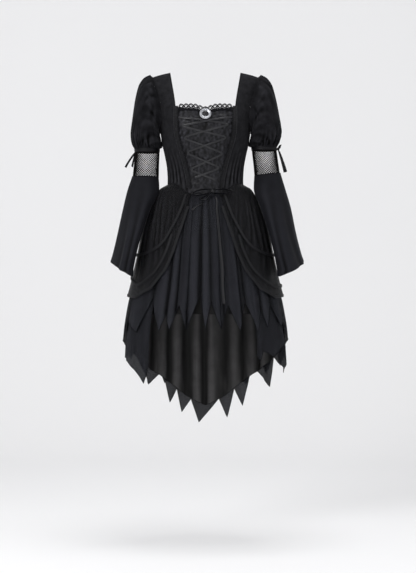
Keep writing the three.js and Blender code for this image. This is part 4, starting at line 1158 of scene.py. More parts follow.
@dataclass
class SatinFront:
    """The satin panel with its lace, braids, lacing and brooch."""

    satin: ClothFinish = SATIN
    ribbon: ClothFinish = LACING
    lace: ClothFinish = LACE
    trim: ClothFinish = TRIM
    edging: ClothFinish = BRAID_EDGE
    pull_depth: float = 1.7
    panel_rows: tuple[float, ...] = (-364, -336, -141, -115)
    lace_half: float = 80.0
    lace_above: float = 10.0
    lace_below: float = 7.0
    scallops: int = 11
    lace_ruffle: float = 2.8
    lacing_lift: float = 1.0
    lacing_over: float = 1.9
    lacing_turns: tuple[tuple[float, ...], ...] = (
        (-81, -143, 81, -142), (-78, -171, 76, -165), (-70, -205, 69, -204),
        (-60, -249, 56, -252), (-48, -301, 45, -295), (-41, -329, 40, -335),
    )
    ribbon_width: float = 6.0
    brooch_z: float = -134.0
    brooch_radius: float = 18.0
    brooch_core: float = 9.0
    brooch_stand: float = 3.2

    @staticmethod
    def sweetheart_z(x: float) -> float:
        """Height of the panel's top edge."""
        return -115 - 10 * math.exp(-((x / 22) ** 2))

    def panel(self) -> None:
        """The satin itself, with small pulls between the lacing's turns."""
        bottom, second, below_top, top = self.panel_rows

        def place(u: float, v: float) -> Vector:
            """A point across the satin and up it."""
            level = mix(bottom, top, v)
            x = (FRONT_EDGE_BY_HEIGHT.read(level) - FORM.seam_gap) * (2 * u - 1)
            low = clamp((second - level) / (second - bottom))
            high = clamp((level - below_top) / (top - below_top))
            waist = FORM.waist_z(FORM.torso_angle(x)) + FORM.waist_gap / 2
            z = level + (waist - bottom) * low + (self.sweetheart_z(x) - top) * high
            edge = smooth(clamp(u / 0.05)) * smooth(clamp((1 - u) / 0.05))
            pull = wander(x / 26, z / 9, 1.0) * 0.8 + wander(x / 8, z / 11, 6.0) * 0.8
            return FORM.panel_point(x, z, -edge * clamp(0.5 + pull) * self.pull_depth)

        obj = lay_cloth("front_satin", 96, 128, place, SATIN_CUT.size, folds=(5, 0.55))
        face_outwards(obj)
        thicken(obj, 0.8)
        dress(obj, self.satin, ["satin_panel"])

    def neck_lace(self) -> None:
        """Gathered lace with scallops, eyelets and a looped edge."""
        per = 26
        columns = self.scallops * per
        rows = 30
        width = 2 * self.lace_half / self.scallops

        def place(u: float, v: float) -> Vector:
            """A point along the lace and up its scallops."""
            x = mix(-self.lace_half, self.lace_half, u)
            phase = u * self.scallops
            scallop = 3 * abs(math.sin(math.pi * phase)) ** 0.8 * smooth(v)
            rise = mix(-self.lace_below, self.lace_above, v)
            lean = mix(0.25, 1, v) * self.lace_ruffle * wave(phase)
            lean += 0.5 * wander(x / 6, v * 2, 9.0) * v
            return FORM.panel_point(x, self.sweetheart_z(x) + rise + scallop, 1.5 + lean)

        obj = lay_cloth("sweetheart_lace", columns, rows, place, LACE_CUT.size)
        face_outwards(obj)
        holes = [
            (0.5, 0.62, 2.7), (0.22, 0.78, 1.1), (0.78, 0.78, 1.1),
            (0.04, 0.56, 1.0), (0.25, 0.4, 0.9), (0.75, 0.4, 0.9),
        ]
        holes += [(0.5, 0.9, 0.8), (0.36, 0.9, 0.7), (0.64, 0.9, 0.7), (0.5, 0.3, 0.8), (0.02, 0.3, 0.7)]
        height = self.lace_above + self.lace_below + 3
        gone = set()
        for face in obj.data.polygons:
            column, row = face.index % columns, face.index // columns
            u, v = ((column + 0.5) / per) % 1, (row + 0.5) / rows
            for across, up, radius in holes:
                near = min(abs(u - across), abs(u - across - 1), abs(u - across + 1)) * width
                if math.hypot(near, (v - up) * height) < radius:
                    gone.add(face.index)
        select_only(obj)
        bpy.ops.object.mode_set(mode="EDIT")
        bpy.ops.mesh.select_all(action="DESELECT")
        bpy.ops.object.mode_set(mode="OBJECT")
        for index in gone:
            obj.data.polygons[index].select = True
        bpy.ops.object.mode_set(mode="EDIT")
        bpy.ops.mesh.select_mode(type="FACE")
        bpy.ops.mesh.delete(type="FACE")
        bpy.ops.object.mode_set(mode="OBJECT")
        thicken(obj, 0.55)
        dress(obj, self.lace, ["neckline_lace"])
        edge = [place(i / (columns // 2), 1) for i in range(columns // 2 + 1)]
        dress(twisted("lace_edge", edge, 0.75, 4.0), self.lace)
        seat = [place(i / 120, 0.16) + Vector((0, -0.6, 0)) for i in range(121)]
        dress(twisted("lace_stitching", seat, 0.6, 5.0), self.lace)

    def braid(self, side: Side) -> None:
        """A braid over the seam beside the panel, corded on its outer edge, looped on its inner."""
        profile = ((-9.0, 1.9), (-8.2, 2.7), (-3.0, 3.0), (1.0, 3.3), (4.0, 2.1), (4.0, 1.3))

        def over(across: float, z: float, lift: float) -> Vector:
            """A point over the seam, on its own side."""
            point = FORM.panel_point(FRONT_EDGE_BY_HEIGHT.read(z) + across, z, lift)
            point.x *= side.value
            return point

        def place(u: float, v: float) -> Vector:
            """A point across the braid and up it."""
            z = mix(-356, -107, v)
            at = u * (len(profile) - 1)
            i = min(len(profile) - 2, int(at))
            across = mix(profile[i][0], profile[i + 1][0], at - i)
            lift = mix(profile[i][1], profile[i + 1][1], at - i)
            knit = 0.35 * wave(v * 86 + 1.2 * abs(u - 0.5)) * smooth(clamp(u * 4)) * smooth(clamp((1 - u) * 4))
            return over(across, z, lift + knit)

        strip = lay_cloth(f"braid_strip_{side.word}", 16, 400, place, (15, 270))
        face_outwards(strip)
        thicken(strip, 0.9)
        heights = [mix(-356, -107, i / 320) for i in range(321)]
        outer = twisted("outer_cord", [over(2.6, z, 3.3) for z in heights], 1.5, 6.5)
        inner = twisted("inner_cord", [over(-7.4, z, 3.1) for z in heights], 0.8, 4.0)
        loops = []
        count = 42
        for i in range(count):
            z = mix(-353, -110, i / (count - 1))
            ring = []
            for step in range(9):
                turn = math.pi * mix(0.5, 1.5, step / 8)
                ring.append(over(-7.6 + 3.4 * math.cos(turn), z + 2.3 * math.sin(turn), 2.6))
            loops.append(lay_cord(f"loop_{i}", ring, 0.55, 5))
        dress(join([strip, inner, *loops], f"braid_trim_{side.word}"), self.trim, [f"braid_{side.word}"])
        outer.name = f"braid_edge_{side.word}"
        dress(outer, self.edging)

    def lacing(self, name: str, node: str, first_left: bool, over: float) -> None:
        """One of the two ribbons that cross down the panel, turning under the braids.

        Args:
            name: the object's name
            node: the solid it stands for
            first_left: whether it starts at the left
            over: how far it rises over the other ribbon
        """
        corners = []
        for i, (left, left_z, right, right_z) in enumerate(self.lacing_turns):
            at_left = (i % 2 == 0) == first_left
            corners.append(Vector((left, 0, left_z) if at_left else (right, 0, right_z)))
        path = []
        for i, (start, end) in enumerate(zip(corners, corners[1:])):
            share_in = 0.12 if i else 0.0
            steps = 8
            for s in range(steps + 1):
                path.append(start.lerp(end, mix(share_in, 0.88, s / steps)))
            if i < len(corners) - 2:
                follow = end.lerp(corners[i + 2], 0.12)
                arrive = start.lerp(end, 0.88)
                for s in (0.25, 0.5, 0.75):
                    path.append(arrive.lerp(end, s).lerp(end.lerp(follow, s), s))
        stops = []
        for i, point in enumerate(path):
            along = (path[min(len(path) - 1, i + 1)] - path[max(0, i - 1)]).normalized()
            across = Vector((-along.z, 0, along.x))
            lift = self.lacing_lift + over * (1 - smooth(clamp((abs(point.x) - 28) / 14)))

            def spot(reach: float) -> Vector:
                """A point on the panel beside the ribbon's middle."""
                return FORM.panel_point(point.x + reach * across.x, point.z + reach * across.z, lift)

            face = FORM.panel_point(point.x, point.z, 5) - FORM.panel_point(point.x, point.z, 0)
            tilt = (spot(1) - spot(-1)).normalized() + face.normalized() * 0.12 * wander(i * 0.35, 0, over)
            stops.append(Stop(spot(0), tilt, face, self.ribbon_width * (1 + 0.12 * wander(i * 0.5, 3.0, over))))
        dress(lay_ribbon(name, stops, 0.6, 0.5, 3), self.ribbon, [node])

    def brooch(self) -> None:
        """A ring of cut stones in claws round a black cut stone."""
        seat = FORM.panel_point(0, self.brooch_z, self.brooch_stand)
        out = (seat - FORM.panel_point(0, self.brooch_z, 0)).normalized()
        turn = Vector((0, 0, 1)).rotation_difference(out)

        def settle(
            parts: Sequence[bpy.types.Object], name: str, finish: Finish, nodes: Sequence[str] = (), angle: float = 20
        ) -> None:
            """Joins parts that lie flat and sets them on the panel."""
            obj = join(parts, name)
            for vertex in obj.data.vertices:
                vertex.co = turn @ vertex.co + seat * MM
            recalculate(obj)
            dress(obj, finish, nodes, angle)

        def lathe(name: str, profile: Sequence[tuple[float, float]], sides: int) -> bpy.types.Object:
            """Turns a profile of radius and height about the brooch's axis."""

            def place(u: float, v: float) -> Vector:
                """A point round the profile."""
                radius, height = profile[round(v * (len(profile) - 1))]
                angle = 2 * math.pi * u
                return Vector((radius * math.cos(angle), radius * math.sin(angle), height))

            return lay_cloth(name, sides, len(profile) - 1, place, (60, 20), closed=True)

        def stone(radius: float, at: tuple[float, float, float], sides: int, tilt: float) -> bpy.types.Object:
            """A cut stone with a table on top."""
            clear_selection()
            bpy.ops.mesh.primitive_cylinder_add(vertices=sides, radius=radius * MM, depth=radius * 0.9 * MM)
            obj = bpy.context.object
            top = radius * 0.45 * MM
            for vertex in obj.data.vertices:
                if vertex.co.z > 0:
                    vertex.co.x *= 0.55
                    vertex.co.y *= 0.55
                    vertex.co.z = top * 1.5
                else:
                    vertex.co.z = 0
            x, y, z = at
            for vertex in obj.data.vertices:
                flat = vertex.co.copy()
                vertex.co = Vector((
                    x * MM + flat.x * math.cos(tilt) - flat.y * math.sin(tilt),
                    y * MM + flat.x * math.sin(tilt) + flat.y * math.cos(tilt),
                    z * MM + flat.z,
                ))
            return obj

        base = lathe("setting", ((9.2, 0), (17.6, 0), (17.9, 1.2), (17.0, 2.0), (10.4, 2.0), (9.4, 1.2), (9.2, 0)), 64)
        claws = []
        count = 20
        middle = (self.brooch_radius + self.brooch_core) / 2 + 0.4
        for ring_radius in (self.brooch_core + 1.2, self.brooch_radius - 1.0):
            for i in range(count):
                angle = 2 * math.pi * (i + 0.5) / count
                clear_selection()
                bpy.ops.mesh.primitive_uv_sphere_add(segments=8, ring_count=5, radius=0.75 * MM)
                bead = bpy.context.object
                for vertex in bead.data.vertices:
                    vertex.co += Vector((ring_radius * math.cos(angle), ring_radius * math.sin(angle), 3.0)) * MM
                claws.append(bead)
        settle([base, *claws], "brooch_setting", SILVER, ["brooch_ring"], 40)
        stones = []
        for i in range(count):
            angle = 2 * math.pi * i / count
            stones.append(stone(2.15, (middle * math.cos(angle), middle * math.sin(angle), 2.1), 8, angle))
        settle(stones, "brooch_stones", CLEAR_STONE)
        dome = lathe(
            "dome", ((0, 0), (8.9, 0), (8.9, 2.2), (8.1, 3.4), (6.4, 4.6), (3.8, 5.4), (0, 5.7)), 12
        )
        rays = []
        for i in range(12):
            angle = 2 * math.pi * (i + 0.5) / 12
            rays.append(stone(1.1, (5.3 * math.cos(angle), 5.3 * math.sin(angle), 4.5), 6, angle))
        rays.append(stone(2.0, (0, 0, 5.2), 10, 0.0))
        settle([dome, *rays], "brooch_jet", JET, ["brooch_stone"])

    def build(self) -> None:
        """Builds the satin front and all that lies on it."""
        self.panel()
        self.neck_lace()
        for side in Side:
            self.braid(side)
        self.lacing("lacing_first", "lacing_under", True, 0.0)
        self.lacing("lacing_second", "lacing_over", False, self.lacing_over)
        self.brooch()


# Skirt

Column = tuple[float, float, float]  # angle, hem, fold depth

CHIFFON_FRONT: tuple[Column, ...] = (
    (-75, -760, 4), (-66, -775, 3), (-55.5, -794, 0), (-52, -763, 1.4), (-49.3, -740, 3), (-47.5, -725, 3.6),
    (-43.3, -691, 5), (-39, -745, 2), (-34, -789, 0), (-30, -741, 9), (-26, -787, 1), (-22.5, -738, 12),
    (-19.8, -712, 3), (-16.5, -752, 4), (-14, -786, 14), (-9, -735, 1), (-3.9, -678, 13), (0, -783, 1),
    (4.3, -702, 0), (8, -748, 1), (11.7, -785, 10), (14.5, -747, 14), (17.2, -712, 5), (21, -752, 0),
    (25.4, -789, 3), (28.6, -745, 13), (31.5, -706, 8), (36, -754, 0), (39, -795, 1), (42, -760, 3),
    (45, -726, 5), (49, -779, 1), (53, -741, 3), (56.5, -708, 5), (62, -745, 3), (67, -778, 1), (75, -762, 4),
)
CHIFFON_SIDE = (
    (75, -762, -760), (82, -795, -790), (90, -820, -821), (97, -838, -842), (104, -862, -850),
    (112, -905, -885), (120, -848, -855), (130, -935, -925), (140, -880, -872), (150, -975, -968),
    (158, -925, -918), (167, -1012, -1004), (174, -958, -952), (180, -1018, -1018),
)
UNDER_LEFT = (
    (39, -866), (42, -880), (45, -852), (49, -856), (53, -863), (56.5, -870), (62, -858), (67, -848), (74, -835),
    (79, -853), (84, -872), (91, -898), (98, -924), (104, -910), (110, -897), (115, -889), (120, -880), (125, -975),
    (130, -956), (136, -937), (143, -905), (152, -1040), (158, -985), (164.3, -1080), (170, -1018), (180, -1071),
)
UNDER_RIGHT = (
    (43.3, -898), (47.5, -949), (49.3, -940), (52, -928), (55.5, -919), (60, -908), (66, -898), (73, -887),
    (78, -882), (84, -878), (91, -872), (98, -866), (104, -863), (110, -860), (115, -870), (120, -880), (127, -924),
    (134, -969), (142, -937), (146, -905), (153, -1030), (158, -985), (162.5, -1062), (169.2, -1020),
    (175.2, -1096), (180, -1071),
)
LONG_ROWS = {Side.LEFT: UNDER_LEFT, Side.RIGHT: UNDER_RIGHT}
LINING_HEM = Table((
    (0, -738), (60, -738), (75, -765), (90, -815), (108, -865), (131, -915), (140, -935), (150, -960),
    (166, -1010), (180, -1040),
))


@dataclass
class SkirtPanel:
    """One panel of a skirt layer, from the waist seam to its cut hem."""

    name: str
    node: str
    columns: tuple[Column, ...]
    layer: Layer
    finish: ClothFinish
    thickness: float
    cut: Cut
    per_column: int = 8
    down: int = 60
    gathers: float = 70.0
    rolled: float = 0.95
    seam_angle: float = 0.0
    valley: float = 1.0
    gore_fold: float = 8.0
    seed: float = 0.0
    reach: int = 8
    deep: float = 3.0

    def column(self, share: float) -> Column:
        """The angle, hem height and fold depth at a share across the panel."""
        at = share * (len(self.columns) - 1)
        i = min(len(self.columns) - 2, int(at))
        low, high = self.columns[i], self.columns[i + 1]
        angle = mix(low[0], high[0], at - i)
        angle += math.copysign(self.seam_angle, high[0] - low[0]) * ((share == 0) - (share == 1))
        deep = at - i if high[2] >= low[2] else 1 - (at - i)
        shape = smooth(deep) if self.valley == 1 else deep**self.valley
        fold = mix(min(low[2], high[2]), max(low[2], high[2]), shape)
        return angle, mix(low[1], high[1], at - i), fold

    def point(self, share: float, down: float) -> Vector:
        """A point on the panel's outer face."""
        angle, hem, fold = self.column(share)
        top = FORM.waist_z(angle) - FORM.waist_gap / 2
        z = mix(top, hem, down**1.15)
        fall = clamp((top - z) / (top - min(hem, -700)))
        below = top - z
        edge = smooth(clamp(share / 0.02)) * smooth(clamp((1 - share) / 0.02))
        turns = angle / 360 * self.gathers
        gather = wave(turns + 0.6 * wander(angle / 9, below / 120, self.seed))
        gather *= smooth(clamp(below / 12)) * (1 - smooth(clamp(below / 150))) * 1.6
        soft = wander(angle / 7, below / 170, self.seed + 4) * 2.6 * fall
        curl = wander(angle / 2.2, below / 60, self.seed + 7) * 1.3 * clamp(fall * 3 - 2)
        return FORM.skirt_point(angle, z, self.layer, -fold * fall**1.2 - edge * (gather - soft - curl))

    def gores(self) -> None:
        """The rolled edges of the pointed gores, up the deep folds where they overlap."""
        cords = []
        for i, (_, _, fold) in enumerate(self.columns):
            if fold < self.gore_fold:
                continue
            share = i / (len(self.columns) - 1)
            line = [self.point(share, mix(0.12, 1.0, step / 60)) for step in range(61)]
            cords.append(lay_cord(f"gore_{i}", line, self.rolled * 0.9, 5))
        dress(join(cords, f"{self.name}_gores"), HEM_ROLL)

    def build(self) -> bpy.types.Object:
        """Lays, thickens and dresses the panel, and rolls its hem."""
        across = self.per_column * (len(self.columns) - 1)
        obj = lay_cloth(self.name, across, self.down, self.point, self.cut.size, folds=(self.reach, self.deep))
        face_outwards(obj)
        thicken(obj, self.thickness)
        dress(obj, self.finish, [self.node])
        hem = [self.point(i / across, 1) for i in range(across + 1)]
        if self.rolled:
            inside = [point - Vector((point.x, point.y, 0)).normalized() * self.thickness / 2 for point in hem]
            dress(lay_cord(f"{self.name}_hem", inside, self.rolled, 5), HEM_ROLL)
        if self.valley > 1:
            self.gores()
        return obj


def tail_ridge(angle: float) -> float:
    """The two ridges on the long lining's shiny inner face, either side of the centre back."""
    return 9 * (math.exp(-(((angle + 173.2) / 2.3) ** 2)) + math.exp(-(((angle - 176.2) / 2.5) ** 2)))


def back_fold(angle: float) -> float:
    """The folds that the layers share at the sides and behind."""
    turn = (abs(angle) - 75) / 15
    if turn < 0:
        return 0.0
    depth = 8 * clamp(0.85 + 0.55 * wander(angle / 21, 3.0, 90.0), 0.45, 1.1)
    return depth * wave(turn + 0.13 * wander(angle / 17, 0.0, 91.0))


@dataclass
class Skirt:
    """The skirt's three layers."""

    def side_columns(self, table: Sequence[tuple[float, ...]], side: Side) -> tuple[Column, ...]:
        """A side panel's columns, with the folds they share.

        Args:
            table: angle and hem heights
            side: the wearer's side

        Returns:
            the columns from the front to the back
        """
        pick = 1 if side is Side.LEFT else len(table[0]) - 1
        result = []
        for low, high in zip(table, table[1:]):
            steps = 2
            for step in range(steps):
                share = step / steps
                angle = mix(low[0], high[0], share)
                result.append((side.value * angle, mix(low[pick], high[pick], share), back_fold(angle)))
        last = table[-1]
        result.append((side.value * last[0], last[pick], back_fold(last[0])))
        return tuple(result)

    def lining_columns(self, start: float, end: float, count: int) -> tuple[Column, ...]:
        """A lining panel's columns along its plain hem.

        Args:
            start: the first angle, in degrees
            end: the last angle
            count: how many steps

        Returns:
            the columns
        """
        result = []
        for i in range(count + 1):
            angle = mix(start, end, i / count)
            result.append((angle, LINING_HEM.read(abs(angle)), back_fold(angle) + tail_ridge(angle)))
        return tuple(result)

    def build(self) -> None:
        """Builds every panel of the skirt."""
        SkirtPanel(
            "front_chiffon", "chiffon_front", CHIFFON_FRONT, Layer.CHIFFON, CHIFFON, 0.35, CHIFFON_FRONT_CUT,
            valley=2.3, seed=1.0,
        ).build()
        for side in Side:
            SkirtPanel(
                f"side_chiffon_{side.word}", f"chiffon_side_{side.word}", self.side_columns(CHIFFON_SIDE, side),
                Layer.CHIFFON, CHIFFON, 0.35, CHIFFON_SIDE_CUT, per_column=4, down=64, seed=2.0 + side.value,
            ).build()
            SkirtPanel(
                f"long_chiffon_{side.word}", f"under_chiffon_{side.word}", self.side_columns(LONG_ROWS[side], side),
                Layer.UNDER, CHIFFON, 0.35, UNDER_CUT, per_column=4, down=70, reach=6, seed=5.0 + side.value,
            ).build()
            SkirtPanel(
                f"back_lining_{side.word}", f"lining_back_{side.word}",
                self.lining_columns(90 * side.value, 180 * side.value, 60), Layer.LINING, LINING, 0.6, LINING_BACK_CUT,
                per_column=2, down=60, rolled=0.9, seed=8.0 + side.value, reach=9, deep=2.6,
            ).build()
        SkirtPanel(
            "front_lining", "lining_front", self.lining_columns(-90, 90, 24), Layer.LINING, LINING, 0.6, LINING_FRONT_CUT,
            per_column=4, down=44, rolled=0.9, seed=9.5,
        ).build()


# Net overskirt

NET_EDGE = (
    (20, -412), (24.4, -480), (29, -549), (34.6, -604), (46, -660), (62, -686), (90, -681), (118, -688),
    (134, -668), (145, -622), (151, -566), (156, -496), (160, -420),
)
SWAG_UPPER = (
    (26, -374.5, -374.5), (26.6, -425, -425), (30.9, -468, -468), (38, -518, -518), (47, -543, -543),
    (60.5, -556, -556), (78, -560, -560), (100, -556, -556), (120, -545, -545), (136, -516, -516),
    (144, -466, -466), (148, -424, -424), (150, -348, -348),
)
SWAG_LOWER = (
    (31, -500, -497), (33.5, -545, -540), (38.5, -590, -586), (46, -622, -622), (60, -654, -650),
    (78, -656, -634), (100, -650, -626), (118, -646, -632), (134, -616, -612), (143, -566, -566), (149, -505, -505),
)


@dataclass
class NetOverskirt:
    """The net on one hip, with its bound edge and the cords looped over it."""

    side: Side
    net: ClothFinish = NET
    cord: ClothFinish = CORDING
    gathers: int = 20
    gather_depth: float = 6.5
    across: int = 168
    down: int = 64
    cord_radius: float = 3.0
    strand_radius: float = 2.1
    strand_apart: float = 4.0

    def column(self, share: float) -> tuple[float, float, float]:
        """Waist angle, hem angle and hem height at a share across the net."""
        at = share * (len(NET_EDGE) - 1)
        i = min(len(NET_EDGE) - 2, int(at))
        low, high = NET_EDGE[i], NET_EDGE[i + 1]
        return mix(20, 158, share), mix(low[0], high[0], at - i), mix(low[1], high[1], at - i)

    def point(self, share: float, down: float, lift: float = 0.0) -> Vector:
        """A point on the net's outer face."""
        waist, angle, hem = self.column(share)
        top = FORM.waist_z(waist) - FORM.waist_gap / 2
        here = mix(waist, angle, down**0.8)
        return FORM.skirt_point(self.side.value * here, mix(top, hem, down), Layer.NET, lift)

    def gathered(self, share: float, down: float) -> Vector:
        """The same, with the net's gathers, which spread from the waist and flatten at the edge.

        Args:
            share: from 0 to 1 across the net
            down: from 0 at the waist to 1 at its edge

        Returns:
            the point
        """
        waist, _, hem = self.column(share)
        long = FORM.waist_z(waist) - hem
        fullness = smooth(clamp(down * long / 110))
        fade = 1 - smooth(clamp((down - 0.45) / 0.55)) * 0.85
        phase = share * self.gathers + 0.7 * wander(share * 14, down * 2.2, 20.0 + self.side.value)
        depth = wave(phase) * (0.65 + 0.5 * wander(share * 20, down * 1.5, 24.0))
        edge = smooth(clamp(share / 0.03)) * smooth(clamp((1 - share) / 0.03))
        return self.point(share, down, -self.gather_depth * fullness * fade * edge * clamp(depth))

    def strands(self, middle: Sequence[Vector]) -> list[list[Vector]]:
        """The middles of two narrow piped cords that lie side by side on a line."""
        path = along_path(middle, 3.5)
        lines = []
        for sign in (-1, 1):
            line = []
            for i, point in enumerate(path):
                out = Vector((point.x, point.y, 0)).normalized()
                along = (path[min(len(path) - 1, i + 1)] - path[max(0, i - 1)]).normalized()
                flat = along.cross(out).normalized()
                line.append(point + flat * sign * self.strand_apart / 2 - out * 0.9)
            lines.append(line)
        return lines

    def swag(self, name: str, middle: Sequence[Vector], node: str) -> None:
        """Two cords sewn down at both ends, which hang side by side between them.

        Args:
            name: the cords' name
            middle: the line between them
            node: the solid they stand for
        """
        for letter, line in zip("ab", self.strands(middle)):
            obj = lay_cord(f"{name}_{letter}", line, self.strand_radius, 8, -0.4)
            dress(obj, self.cord, [node])

    def cords(self) -> None:
        """The bound edge and the two swags."""
        edge = []
        count = 150
        for i in range(count + 1):
            share = i / count
            point, above = self.point(share, 1), self.point(share, 0.97)
            ahead = self.point(min(1, share + 0.01), 1) - self.point(max(0, share - 0.01), 1)
            along = ahead.normalized()
            out = (point - above) - along * (point - above).dot(along)
            edge.append(point + out.normalized() * (self.cord_radius * 0.62 + 0.2))
        parts = [lay_cord("edging", line, self.strand_radius, 8, -0.4) for line in self.strands(edge)]
        dress(join(parts, f"net_edging_{self.side.word}"), self.cord, [f"net_binding_{self.side.word}"])
        pick = 1 if self.side is Side.LEFT else 2
        for word, table in (("upper", SWAG_UPPER), ("lower", SWAG_LOWER)):
            lift = self.cord_radius + 1.1
            middle = [FORM.skirt_point(self.side.value * row[0], row[pick], Layer.NET, lift) for row in table]
            self.swag(f"swag_cord_{word}_{self.side.word}", middle, f"swag_{word}_{self.side.word}")

    def build(self) -> None:
        """Builds the net and its cords."""
        obj = lay_cloth(f"hip_net_{self.side.word}", self.across, self.down, self.gathered, NET_CUT.size, folds=(4, 1.8))
        face_outwards(obj)
        thicken(obj, 0.3)
        dress(obj, self.net, [f"net_overskirt_{self.side.word}"])
        self.cords()


# Sleeves

PUFF = (
    (171, 0, 141, -186, 66), (189, -9, 139.5, -194, 73), (206, -32, 138.3, -200, 76), (218, -78, 137.4, -206, 73),
    (226, -132, 136.8, -211, 66), (233, -180, 137.2, -217, 58), (230, -205, 139, -221.5, 50), (221, -224, 142, -224, 39.5),
)
PUFF_RINGS = Table(tuple((row, *ring) for row, ring in enumerate(PUFF)))
# The bells by height: inner and outer line, half depth, lean forwards, turn of its front inwards
BELL_LEFT = Table((
    (-604, 217, 318, 93, 50, 28), (-556, 208, 301, 87, 46, 26), (-490, 192, 283, 76, 40, 24),
    (-415, 169, 266, 62, 26, 18), (-353, 149, 247.5, 50, 8, 8), (-304, 152, 232.5, 41, 0, 0),
))
BELL_RIGHT = Table((
    (-604, 217, 304, 93, 50, 28), (-556, 208, 290, 87, 46, 26), (-490, 191, 274, 76, 40, 24),
    (-415, 166, 256, 62, 26, 18), (-356, 142, 241, 50, 8, 8), (-315, 145, 227, 40.5, 0, 0),
))


@dataclass(frozen=True)
class SleeveFit:
    """How one sleeve sits, since the two aren't worn quite alike, in millimetres.

    band holds its middle, top, height and radius, net a middle and radius at its top and bottom,
    bell_top the height of the bell's inner and outer upper edge, and tails where each tail ends.
    """

    band: tuple[float, float, float, float]
    net: tuple[tuple[float, float], tuple[float, float]]
    bell: Table
    bell_top: tuple[float, float]
    puff_out: float
    puff_drop: float
    tie_turn: float
    loops: tuple[tuple[float, float, float], ...]
    tails: tuple[tuple[float, float, float], ...]


FITS = {
    Side.LEFT: SleeveFit(
        (181.5, -225.5, 9.5, 40.3), ((182.3, 37.8), (191.5, 38.4)), BELL_LEFT, (-313, -304), 5.5, 1.0, 10,
        ((-16, 6, 8), (14, 2, 4)), ((250, -14, -302), (245, -10, -303)),
    ),
    Side.RIGHT: SleeveFit(
        (180, -230.5, 10.5, 39.8), ((180.2, 37.4), (185, 39.8)), BELL_RIGHT, (-316, -315), 0.5, 6.0, -32,
        ((-12, 3, 1), (13, 2, 3)), ((247, -14, -288), (228, 16, -284)),
    ),
}


@dataclass(frozen=True)
class Crease:
    """A soft ridge, or a trough below 0, along a line on the puff: share round it and its ring."""

    start: tuple[float, float]
    end: tuple[float, float]
    rise: float
    width: float

    def height(self, turn: float, at: float) -> float:
        """How far it moves the cloth out at a place, in millimetres.

        Args:
            turn: from 0 to 1 round the puff
            at: the ring, from 0 at the head

        Returns:
            the rise, below 0 in a trough
        """
        round_puff, ring_gap = 370, 24
        here = Vector((turn * round_puff, at * ring_gap))
        start = Vector((self.start[0] * round_puff, self.start[1] * ring_gap))
        along = Vector((self.end[0] * round_puff, self.end[1] * ring_gap)) - start
        share = clamp((here - start).dot(along) / along.length_squared)
        away = (here - start - along * share).length / self.width
        return self.rise * math.exp(-away * away) * (0.45 + 0.55 * math.sin(math.pi * share))


PUFF_CREASES = (
    Crease((0.42, 1.2), (0.12, 5.2), 5.0, 9), Crease((0.45, 2.6), (0.18, 6.0), -5.0, 8),
    Crease((0.43, 3.9), (0.26, 6.4), 4.0, 7), Crease((0.38, 0.2), (0.14, 3.6), -4.5, 8),
    Crease((0.26, 0.2), (0.1, 2.4), 4.0, 8), Crease((0.08, 0.6), (0.03, 4.4), -4.0, 9),
    Crease((0.58, 1.4), (0.86, 5.0), 5.0, 10), Crease((0.56, 3.0), (0.8, 6.2), -4.5, 8),
    Crease((0.72, 0.4), (0.9, 2.8), -4.5, 8), Crease((0.68, 4.6), (0.58, 6.4), 4.0, 7),
)


